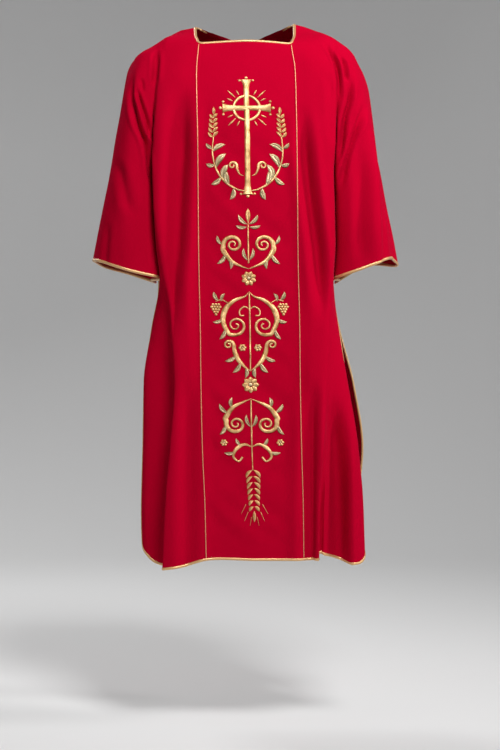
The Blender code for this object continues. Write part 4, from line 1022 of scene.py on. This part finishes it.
class Needlework:
    """Satin stitch, leaves and knots, collected by thread and laid on the panel."""

    def __init__(self, points, normals, levels):
        self.points, self.normals, self.levels = points, normals, levels
        self.half = follow(PANEL["level"], PANEL["half"], levels)
        self.threads = {}

    def place(self, u, v):
        """Points and normals of the panel at u across and v down, in millimetres."""
        level = np.asarray(v) / 1000
        row = np.interp(level, self.levels, np.arange(len(self.levels)))
        middle = (self.points.shape[1] - 1) / 2
        col = middle * (1 + np.asarray(u) / 1000 / np.interp(level, self.levels, self.half))
        i = np.clip(row.astype(int), 0, len(self.levels) - 2)
        j = np.clip(col.astype(int), 0, self.points.shape[1] - 2)
        a, b = (row - i)[..., None], (col - j)[..., None]

        def read(grid):
            return ((1 - a) * (1 - b) * grid[i, j] + (1 - a) * b * grid[i, j + 1]
                    + a * (1 - b) * grid[i + 1, j] + a * b * grid[i + 1, j + 1])
        return read(self.points), unit(read(self.normals))

    def add(self, thread, u, v, height, uv, faces):
        """Vertices at u, v and height (millimetres) and the faces between them."""
        places, out = self.place(u, v)
        store = self.threads.setdefault(thread, ([], [], [], [0]))
        store[0].append((places + out * (height / 1000)[..., None]).reshape(-1, 3))
        store[1].append(uv.reshape(-1, 2))
        store[2].extend(tuple(k + store[3][0] for k in face) for face in faces)
        store[3][0] += u.size

    def stroke(self, path, widths, thread="gold", outline=ROUND_STROKE, crown=1.0):
        """Satin stitch along a path; widths at even spaces along it."""
        line = sampled(path, SATIN_STEP)
        run = run_along(line)
        width = np.interp(run / run[-1], np.linspace(0, 1, len(widths)), widths)
        along = unit(np.gradient(line, axis=0))
        side = np.stack([-along[:, 1], along[:, 0]], axis=1)
        across_at, shape = np.array(outline)
        full = SATIN_CROWN * crown * np.minimum(1, (width / SATIN_FULL)) ** 0.6
        reach = 0.5 * width[:, None] * across_at
        u, v = (line[:, k:k + 1] + side[:, k:k + 1] * reach for k in (0, 1))
        height = full[:, None] * shape - SATIN_SINK * (shape == 0)
        uv = np.stack(np.meshgrid(run / 1000, across_at * SATIN_ACROSS, indexing="ij"), axis=-1)
        faces = tube_faces(np.arange(u.size).reshape(u.shape), flip=True)
        self.add(thread, u, v, height, uv, faces)

    def knot(self, u, v, radius, thread="gold", height=1.0):
        """A round knot or berry."""
        angle = np.arange(KNOT_SIDES) * 2 * np.pi / KNOT_SIDES
        rings = radius * np.array([[1.0], [0.86], [0.5]])
        rise = height * np.array([[-SATIN_SINK / height], [0.55], [0.9]])
        us, vs = u + rings * np.cos(angle), v + rings * np.sin(angle)
        index = np.arange(us.size).reshape(us.shape)
        faces = tube_faces(index, flip=True)[:-1]
        faces += [(k, us.size, n) for k, n in zip(index[-1], np.roll(index[-1], -1))]
        us, vs, hs = (np.append(part.ravel(), end) for part, end in
                      ((us, u), (vs, v), (np.broadcast_to(rise, us.shape), height)))
        uv = np.stack([us / 1000, (vs - v) / radius * SATIN_ACROSS], axis=1)
        self.add(thread, us, vs, hs, uv, faces)

    def both(self, path, widths, **how):
        """A stroke and its mirror image."""
        self.stroke(path, widths, **how)
        self.stroke([(-u, v) for u, v in path], widths, **how)

    def leaf(self, u, v, angle, length, width, thread="leaf", bend=0.14, mirror=True):
        """A pointed leaf with a vein; angle in degrees from the right, plus is down."""
        ahead, aside = (np.array(around((0, 0), 1, angle + turn)) for turn in (0, 90))
        path = [tuple((u, v) + length * (t * ahead + bend * np.sin(np.pi * t) * aside))
                for t in np.linspace(0, 1, 5)]
        widths = (0.8, 0.72 * width, width, 0.78 * width, 0.3)
        (self.both if mirror else self.stroke)(path, widths, thread=thread, outline=VEINED_STROKE)

    def leaves(self, *rows):
        """Pairs of leaves, one a row: root, angle, length and width."""
        for row in rows:
            self.leaf(*row)

    def flower(self, u, v, radius, petals, turn=0.0):
        """Petals of satin stitch round a knot."""
        wide = 1.15 * radius * np.sin(np.pi / petals) * 1.6
        for k in range(petals):
            path = [around((u, v), r * radius, turn + 360 * k / petals) for r in (0.30, 0.68, 1.0)]
            self.stroke(path, (0.35 * wide, wide, 0.9 * wide, 0.25 * wide), crown=0.9)
        self.knot(u, v, 0.27 * radius, thread="leaf", height=1.5)


def stitch_cross(work):
    """A tall cross with flared ends, a ring round its crossing, and rays."""
    waist, flare, bar = CROSS["waist"], CROSS["flare"], CROSS["bar"]
    middle = np.array([0, bar])
    for u, v in ((0, CROSS["top"]), (-CROSS["arm"], bar), (CROSS["arm"], bar), (0, CROSS["foot"])):
        long = abs(u) + abs(v - bar)
        turn = (np.array([u, v]) - middle) / long
        line = sampled([middle + turn * long * t for t in (0, 0.5, 1 - 18 / long, 1 - 6 / long, 1)],
                       1.0)
        away = long - np.linalg.norm(line - line[0], axis=1)
        work.stroke(line, waist + (flare - waist) * np.exp(-away / 6.5))
        work.knot(*((u, v) + turn * 4.5), 3.4, height=1.6)
        side = np.array([-turn[1], turn[0]])
        for way in (-1, 1):
            work.knot(*((u, v) + way * side * (0.5 * flare + 2.2) - turn), 2.6, height=1.4)
    work.stroke([around(middle, CROSS["ring"], a) for a in np.linspace(0, 360, 33)], (5.4, 5.4),
                crown=0.9)
    for quarter in range(4):
        for lean, reach in ((-17, 45), (0, 55), (17, 45)):
            work.stroke([around(middle, r, 45 + 90 * quarter + lean) for r in (33, reach)],
                        (0.8, 3.6, 0.6))


def stitch_branches(work):
    """Two curved branches that rise from the foot of the cross, with leaves and ears."""
    work.both([(4, 385), (22, 381), (45, 366), (63, 340), (72, 305), (70, 268)],
              (2.4, 4.6, 3.6, 2.4))
    work.leaves((30, 379, 75, 25, 11.5), (37, 372, -80, 29, 12.5), (55, 354, 38, 26, 11.5),
                (50, 360, -108, 34, 13.5), (67, 328, -8, 20, 10.0), (64, 334, -124, 36, 13.5),
                (71.5, 300, -148, 31, 12.0), (72, 292, -38, 18, 9.0))
    for k in range(5):
        for angle in (-132, -48):
            work.leaf(70 - 0.5 * k, 268 - 10.5 * k, angle, 16.0 - k, 7.4, "gold", 0.12)
    work.leaf(68, 219, -92, 17, 7.4, "gold", 0.0)
    work.both([(9, 352), (17, 348), (22, 336)] + volute((31, 330), 9.5, 2.2, 160, 430),
              (1.0, 4.6, 6.0, 4.4, 3.0))


def stitch_column(work):
    """A candelabrum of mirrored volutes, leaves, grapes and flowers down the panel."""
    work.stroke([(0, 440), (0, 540)], (1.4, 3.0, 3.0))
    work.stroke([(0, 605), (0, 770)], (3.0, 3.4, 3.4, 3.0))
    work.stroke([(0, 835), (0, 985)], (3.0, 3.2, 2.0))
    # finial
    work.leaf(0, 452, -90, 30, 11, "gold", 0.0, mirror=False)
    work.leaves((2, 456, -48, 27, 9), (3, 462, -8, 23, 8))
    # upper volutes, opening upwards
    widths = (1.0, 6.5, 11.0, 8.5, 6.0, 4.4, 3.2)
    work.both([(0, 552), (12, 548), (34, 536), (50, 514)]
              + volute((31, 500), 20.5, 3.0, 12, -600), widths)
    work.leaves((1.5, 534, -72, 27, 8), (47, 520, 52, 27, 9.5), (40, 529, 98, 24, 9.0),
                (53, 500, -62, 22, 8.0))
    work.flower(0, 573, 15.5, 8, 22.5)
    # middle: long S scrolls with a cluster of grapes on each side
    work.both([(0, 602), (10, 612), (30, 620), (48, 638), (54, 664), (44, 690)]
              + volute((29, 674), 22.0, 3.0, 62, 560), (1.0, 7.0, 11.5, 9.5, 7.0, 5.0, 3.6, 2.8))
    work.both([(0, 640), (10, 634), (20, 641), (20, 652), (12, 653)], (1.0, 3.4, 3.2, 2.6, 3.2))
    work.both([(40, 628), (55, 619), (68, 622)], (1.0, 2.4, 1.6))
    for row, count in enumerate((3, 4, 3, 2, 1)):
        for k in range(count):
            for way in (-1, 1):
                work.knot(way * (68 + 5.9 * (k - (count - 1) / 2)), 629 + 5.3 * row, 3.05,
                          height=2.1)
    work.leaves((62, 620, -62, 21, 9.0), (56, 622, -112, 18, 7.5), (54, 660, 18, 22, 8.5),
                (50, 682, 62, 25, 9.0))
    # a lyre below, its ends rolled outwards
    work.both([(0, 772), (11, 764), (24, 749), (31, 732), (33, 718)]
              + volute((43.5, 716), 10.5, 2.4, 180, 470), (1.0, 7.5, 10.0, 6.5, 4.4, 3.2))
    work.leaves((30, 740, 28, 23, 9.5), (21, 754, 56, 26, 10.0), (10, 765, 88, 22, 9.0))
    for u, v, radius, petals in ((16, 722, 8.0, 6), (-16, 722, 8.0, 6), (0, 802, 17.0, 8)):
        work.flower(u, v, radius, petals)
    # lower volutes, opening downwards
    work.both([(0, 832), (14, 838), (36, 850), (51, 872)]
              + volute((31, 886), 20.5, 3.0, -20, 600), widths)
    work.leaves((1.5, 892, -72, 27, 8), (47, 862, -50, 25, 9.0), (38, 851, -92, 22, 8.5),
                (52, 888, 60, 24, 8.5))
    work.both([(0, 935), (16, 930), (32, 940), (38, 956), (28, 966), (20, 957)],
              (1.0, 5.8, 7.6, 5.6, 3.8, 4.0))
    work.leaves((34, 946, 4, 22, 8.0), (22, 932, -58, 18, 7.0))
    for u in (56, -56):
        work.flower(u, 926, 7.5, 6)
    # an ear of wheat at the foot
    for k in range(7):
        work.leaf(1.5, 985 + 13.0 * k, 52, 21 - 1.2 * k, 7.4, "gold", -0.14)
    work.leaf(0, 1073, 90, 24, 8.0, "gold", 0.0, mirror=False)
    for u, v, reach in ((13, 1075, 20), (17, 1058, 21), (6, 1086, 19)):
        work.both([(u, v), (1.35 * u, v + 0.6 * reach), (1.6 * u, v + reach)], (1.2, 0.9, 0.5))


def embroider(points, normals, threads):
    """The panel's embroidery as one piece for each thread."""
    work = Needlework(points, normals, LEVELS[NECK_ROW:])
    stitch_cross(work)
    stitch_branches(work)
    stitch_column(work)
    pieces = []
    for thread, (places, uv, faces, _) in work.threads.items():
        piece = make_object("embroidery_" + thread, np.concatenate(places), faces,
                            np.concatenate(uv), threads[thread], sharp=80)
        pieces.append(piece)
    return pieces


# ---------------------------------------------------------------- materials
class Finish:
    """A material and short-hand for the nodes that make it."""

    def __init__(self, name, **shader):
        self.material = bpy.data.materials.new(name)
        self.material.use_nodes = True
        self.tree = self.material.node_tree
        self.shader = self.tree.nodes["Principled BSDF"]
        for label, value in shader.items():
            self.shader.inputs[label.replace("_", " ")].default_value = value

    def put(self, socket, value):
        if isinstance(value, bpy.types.NodeSocket):
            self.tree.links.new(value, socket)
        else:
            socket.default_value = value

    def node(self, kind, *values, settings=None, **inputs):
        """A node; values go to its first inputs, inputs to the named ones."""
        made = self.tree.nodes.new(kind)
        for label, value in (settings or {}).items():
            setattr(made, label, value)
        for socket, value in zip(made.inputs, values):
            self.put(socket, value)
        for label, value in inputs.items():
            self.put(made.inputs[label.replace("_", " ")], value)
        return made

    def math(self, operation, *values):
        return self.node("ShaderNodeMath", *values, settings={"operation": operation}).outputs[0]

    def total(self, *parts):
        """Sum of (value, weight) pairs."""
        values = [self.math("MULTIPLY", value, weight) for value, weight in parts]
        while len(values) > 1:
            values[:2] = [self.math("ADD", values[0], values[1])]
        return values[0]

    def ribs(self, value, pitch):
        """Rounded ribs one pitch apart."""
        wave = self.math("SINE", self.math("MULTIPLY", value, np.pi / pitch))
        return self.math("ABSOLUTE", wave)

    def uv(self):
        """The two cloth coordinates, in metres."""
        source = self.node("ShaderNodeUVMap", settings={"uv_map": "UVMap"}).outputs["UV"]
        parts = self.node("ShaderNodeSeparateXYZ", source)
        return source, parts.outputs["X"], parts.outputs["Y"]

    def noise(self, vector, sx, sy, detail=2.0):
        """Noise with so many waves to the metre across and down."""
        place = self.node("ShaderNodeMapping", Vector=vector, Scale=(sx, sy, 1.0))
        return self.node("ShaderNodeTexNoise", Vector=place.outputs["Vector"], Scale=1.0,
                         Detail=detail, Roughness=0.5).outputs["Fac"]

    def look(self, value, colours, height, distance, strength):
        """Colour from the first to the second as value goes from 0 to 1, and a fine relief."""
        made = self.node("ShaderNodeMix", settings={"data_type": "RGBA"})
        for socket, source in zip((0, 6, 7), (value, *colours)):
            self.put(made.inputs[socket], source)
        self.put(self.shader.inputs["Base Color"], made.outputs[2])
        bump = self.node("ShaderNodeBump", Height=height, Distance=distance, Strength=strength)
        self.put(self.shader.inputs["Normal"], bump.outputs["Normal"])
        return self.material

    def weave(self, u, v, pitch):
        """Plain weave: threads one pitch apart both ways, each over and under the other."""
        turn_u, turn_v = (self.math("SINE", self.math("ADD", self.math(
            "MULTIPLY", value, np.pi / pitch), np.pi / 2)) for value in (u, v))
        over = self.total((self.math("MULTIPLY", turn_u, turn_v), 0.5), (0.5, 1.0))
        under = self.math("SUBTRACT", 1.0, over)
        return self.total((self.ribs(u, pitch), over), (self.ribs(v, pitch), under))


def red_cloth(name):
    """Fine wool-look vestment cloth: plain weave, uneven yarns, a soft nap."""
    made = Finish(name, Roughness=0.85, Specular_IOR_Level=0.0, Sheen_Weight=0.04,
                  Sheen_Roughness=0.30, Sheen_Tint=(1.0, 0.20, 0.40, 1.0))
    uv, u, v = made.uv()
    cloud = made.noise(uv, 14, 9, 3.0)
    yarn, filling = made.noise(uv, 900, 40), made.noise(uv, 40, 900)
    height = made.total((made.weave(u, v, THREAD_PITCH), 1.0), (yarn, 0.6), (filling, 0.6))
    shade = made.total((cloud, 0.5), (yarn, 0.25), (filling, 0.25))
    return made.look(shade, RED, height, RELIEF, 0.6)


def gold_braid(name):
    """Rolled binding of gold lame: fine cross ribs with a silky shine."""
    made = Finish(name, Roughness=0.36, Metallic=0.45, Specular_IOR_Level=0.5)
    uv, u, v = made.uv()
    rib, fleck = made.ribs(made.total((u, 1.0), (v, 0.5)), RIB_PITCH), made.noise(uv, 420, 900)
    height = made.total((rib, 1.0), (fleck, 0.5))
    return made.look(made.total((rib, 0.35), (fleck, 0.65)), GOLD, height, RELIEF, 0.6)


def gold_cord(name):
    """Twisted gold thread of the pipings."""
    made = Finish(name, Roughness=0.40, Metallic=0.50, Specular_IOR_Level=0.5)
    _, u, v = made.uv()
    ply = made.total(*((value, 2 * np.pi / pitch) for value, pitch in zip((u, v), PLY_PITCH)))
    strand = made.total((made.math("SINE", ply), 0.5), (0.5, 1.0))
    return made.look(strand, CORD, strand, CORD_RELIEF, 0.7)


def satin_thread(name, colours, metal):
    """Shiny embroidery thread laid side by side across each stroke; its colour holds painted shade,
    darker towards each stroke's edges, and painted sheen in slow light and dark patches.
    """
    made = Finish(name, Roughness=0.34, Metallic=metal, Specular_IOR_Level=0.5)
    uv, u, v = made.uv()
    strand = made.ribs(made.total((u, 1.0), (v, 0.35)), STITCH_PITCH)
    uneven, cloud = made.noise(uv, 1500, 120), made.noise(uv, 160, 160)
    # Slow light and dark patches of the colour: painted sheen of the satin.
    sweep = made.math("SUBTRACT", made.noise(uv, 48, 90, 1.0), 0.44)
    # The colour darkens towards each stroke's edges: painted shade.
    share = made.math("ABSOLUTE", made.math("MULTIPLY", v, 1 / SATIN_ACROSS))
    edge = made.math("POWER", share, 3.0)
    shade = made.total((strand, 0.30), (uneven, 0.35), (cloud, 0.40), (sweep, 2.4), (edge, -0.6))
    height = made.total((strand, 1.0), (uneven, 0.8))
    return made.look(shade, colours, height, RELIEF, 0.7)


# ---------------------------------------------------------------- studio
def camera():
    data = bpy.data.cameras.new("camera")
    data.sensor_width = CAMERA_SENSOR
    data.lens = CAMERA_LENS
    made = add_object("camera", data)
    made.location = CAMERA_PLACE
    made.rotation_euler = (np.pi / 2, 0.0, 0.0)
    bpy.context.scene.camera = made


def soft_light(name, place, aim, size, power, spread):
    data = bpy.data.lights.new(name, "AREA")
    data.shape = "RECTANGLE"
    data.size, data.size_y = size
    data.energy = power
    data.spread = np.radians(spread)
    made = add_object(name, data)
    made.location = place
    made.visible_camera = False
    made.rotation_euler = (Vector(aim) - Vector(place)).to_track_quat("-Z", "Y").to_euler()


def backdrop():
    """Pale floor that sweeps up all round; from behind it doesn't show."""
    bend = [(FLOOR_REACH + BACKDROP_BEND * np.sin(a), FLOOR_Z + BACKDROP_BEND * (1 - np.cos(a)))
            for a in np.linspace(0, np.pi / 2, BACKDROP_STEPS)]
    profile = [*((r, FLOOR_Z) for r in FLOOR_RINGS), *bend, (bend[-1][0], BACKDROP_TOP)]
    points = [(0.0, 0.0, FLOOR_Z)]
    faces = []
    n = len(profile)
    for k in range(BACKDROP_TURNS):
        turn = 2 * np.pi * k / BACKDROP_TURNS
        points += [(r * np.cos(turn), r * np.sin(turn), z) for r, z in profile]
        a, b = 1 + k * n, 1 + (k + 1) % BACKDROP_TURNS * n
        faces += [(0, a, b), *((a + i, a + i + 1, b + i + 1, b + i) for i in range(n - 1))]
    mesh = bpy.data.meshes.new("floor")
    mesh.from_pydata(points, [], faces)
    mesh.shade_smooth()
    paper = Finish("backdrop_paper", Roughness=0.9, Base_Color=PAPER, Specular_IOR_Level=0.1,
                   Emission_Color=(1.0, 1.0, 1.0, 1.0), Emission_Strength=PAPER_GLOW)
    clear = paper.node("ShaderNodeBsdfTransparent").outputs["BSDF"]
    behind = paper.node("ShaderNodeNewGeometry").outputs["Backfacing"]
    mix = paper.node("ShaderNodeMixShader", behind, paper.shader.outputs["BSDF"], clear)
    paper.put(paper.tree.nodes["Material Output"].inputs["Surface"], mix.outputs["Shader"])
    mesh.materials.append(paper.material)
    add_object("floor", mesh)


def studio():
    world = bpy.data.worlds.new("studio")
    world.use_nodes = True
    background = world.node_tree.nodes["Background"]
    background.inputs["Color"].default_value = (1, 1, 1, 1)
    background.inputs["Strength"].default_value = WORLD_STRENGTH
    bpy.context.scene.world = world
    bpy.context.scene.view_settings.view_transform = "Standard"
    for name, values in LIGHTS.items():
        soft_light(name, *values)
    backdrop()
    camera()


# ---------------------------------------------------------------- putting it together
def seam_shifts(cloth, front, half):
    """How far each piece's points move so that the panel's seams keep their gap."""
    shifts = {name: np.zeros_like(cloth.points) for name in CLOTH_PIECES}
    for j, side in ((half, "right"), (front.shape[1] - 1 - half, "left")):
        gap = np.array([SIGN[side] * SEAM_GAP / 2, 0.0, 0.0])
        shifts["front_side_" + side][front[:, j]] = gap
        shifts["front_panel"][front[:, j]] = -gap
    return shifts


def cloth_uv(cloth, grids):
    """Distances across and down the cloth for every point; across starts at each grid's
    own column."""
    uv = np.zeros((len(cloth.points), 2))
    for index, centre in grids:
        points = cloth.points[index]
        wide = np.linalg.norm(np.diff(np.nan_to_num(points), axis=1), axis=2)
        wide[np.isnan(points[:, 1:, 0]) | np.isnan(points[:, :-1, 0])] = UV_GAP
        wide = np.minimum(wide, UV_MOST)
        u = np.concatenate([np.zeros((len(index), 1)), np.cumsum(wide, axis=1)], axis=1)
        u -= u[:, centre][:, None]
        tall = np.nan_to_num(np.linalg.norm(np.diff(points, axis=0), axis=2))
        v = np.concatenate([np.zeros((1, index.shape[1])), np.cumsum(tall, axis=0)], axis=0)
        uv[index] = np.stack([u, -v], axis=2)
    return uv


def main():
    cloth = Cloth()
    front, front_sleeves, half = lay_front(cloth)
    back, back_sleeves, neck_ends = lay_back(cloth)
    cloth.finish()
    points, normals = cloth.points, cloth.normals
    sleeves = [arms[side] for arms in (front_sleeves, back_sleeves) for side in SIGN]
    uv = cloth_uv(cloth, [*((sleeve, 0) for sleeve in sleeves),
                          *((grid, grid.shape[1] // 2) for grid in (front, back))])

    red, braid, cord = red_cloth("red_cloth"), gold_braid("gold_braid"), gold_cord("gold_cord")
    shifts = seam_shifts(cloth, front, half)

    def stands_for(piece, node):
        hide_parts(node)

    for name in CLOTH_PIECES:
        piece = shell(name + "_cloth", cloth.quads[name], points, normals, uv, red, shifts[name])
        stands_for(piece, name)

    tree = BVHTree.FromPolygons(np.nan_to_num(points).tolist(),
                                np.concatenate(list(cloth.quads.values())).tolist())

    def trim(name, node, edge, inner, closed, corners=(), rounded=(), reach=BINDING_REACH):
        path = points[edge].copy()
        run = run_along(path)
        for corner in rounded:
            rounded_corner(path, run, corner, NECK_CORNER)
        stands_for(binding(name, path, normals[edge], points[inner], closed, tree, braid, reach,
                           corners), node)

    # neckline: down the wearer's left side of the front, across, up, and round the back
    neck, left, right = NECK_ROW, front.shape[1] - 1 - half, half
    across_back = np.arange(neck_ends[0] + 1, neck_ends[1])
    edge = np.concatenate([front[:neck, left], front[neck, left:right:-1],
                           front[neck::-1, right], back[0, across_back]])
    inner = np.concatenate([front[:neck, left + 1], front[neck + 1, left:right:-1],
                            front[neck::-1, right - 1], back[1, across_back]])
    trim("neck_braid", "neck_binding", edge, inner, True, rounded=(neck, neck + left - right))

    for side in SIGN:
        edge, inner = (np.concatenate([front_sleeves[side][row], back_sleeves[side][row][-2:0:-1]])
                       for row in (-1, -2))
        trim("sleeve_braid_" + side, "sleeve_binding_" + side, edge, inner, True,
             reach=SLEEVE_REACH)

    slit = row_of(SLIT_LEVEL)
    for name, grid in (("front", front), ("back", back)):
        bottom, end = len(grid) - 1, grid.shape[1] - 1
        edge, inner = (np.concatenate([grid[slit:bottom, step], grid[bottom - step],
                                       grid[slit:bottom, end - step][::-1]]) for step in (0, 1))
        trim(name + "_edge_braid", name + "_edge_binding", edge, inner, False,
             (bottom - slit, bottom - slit + end))

    for j, side in ((right, "right"), (left, "left")):
        run = front[neck + 1:-1, j]
        piece = piping("panel_cord_" + side, points[run], normals[run], cord)
        stands_for(piece, "panel_piping_" + side)

    threads = {"gold": satin_thread("gold_satin", SATIN, 0.50),
               "leaf": satin_thread("leaf_satin", LEAF, 0.45)}
    panel = front[neck:, right:left + 1]
    stitching = embroider(points[panel], normals[panel], threads)


studio()
main()
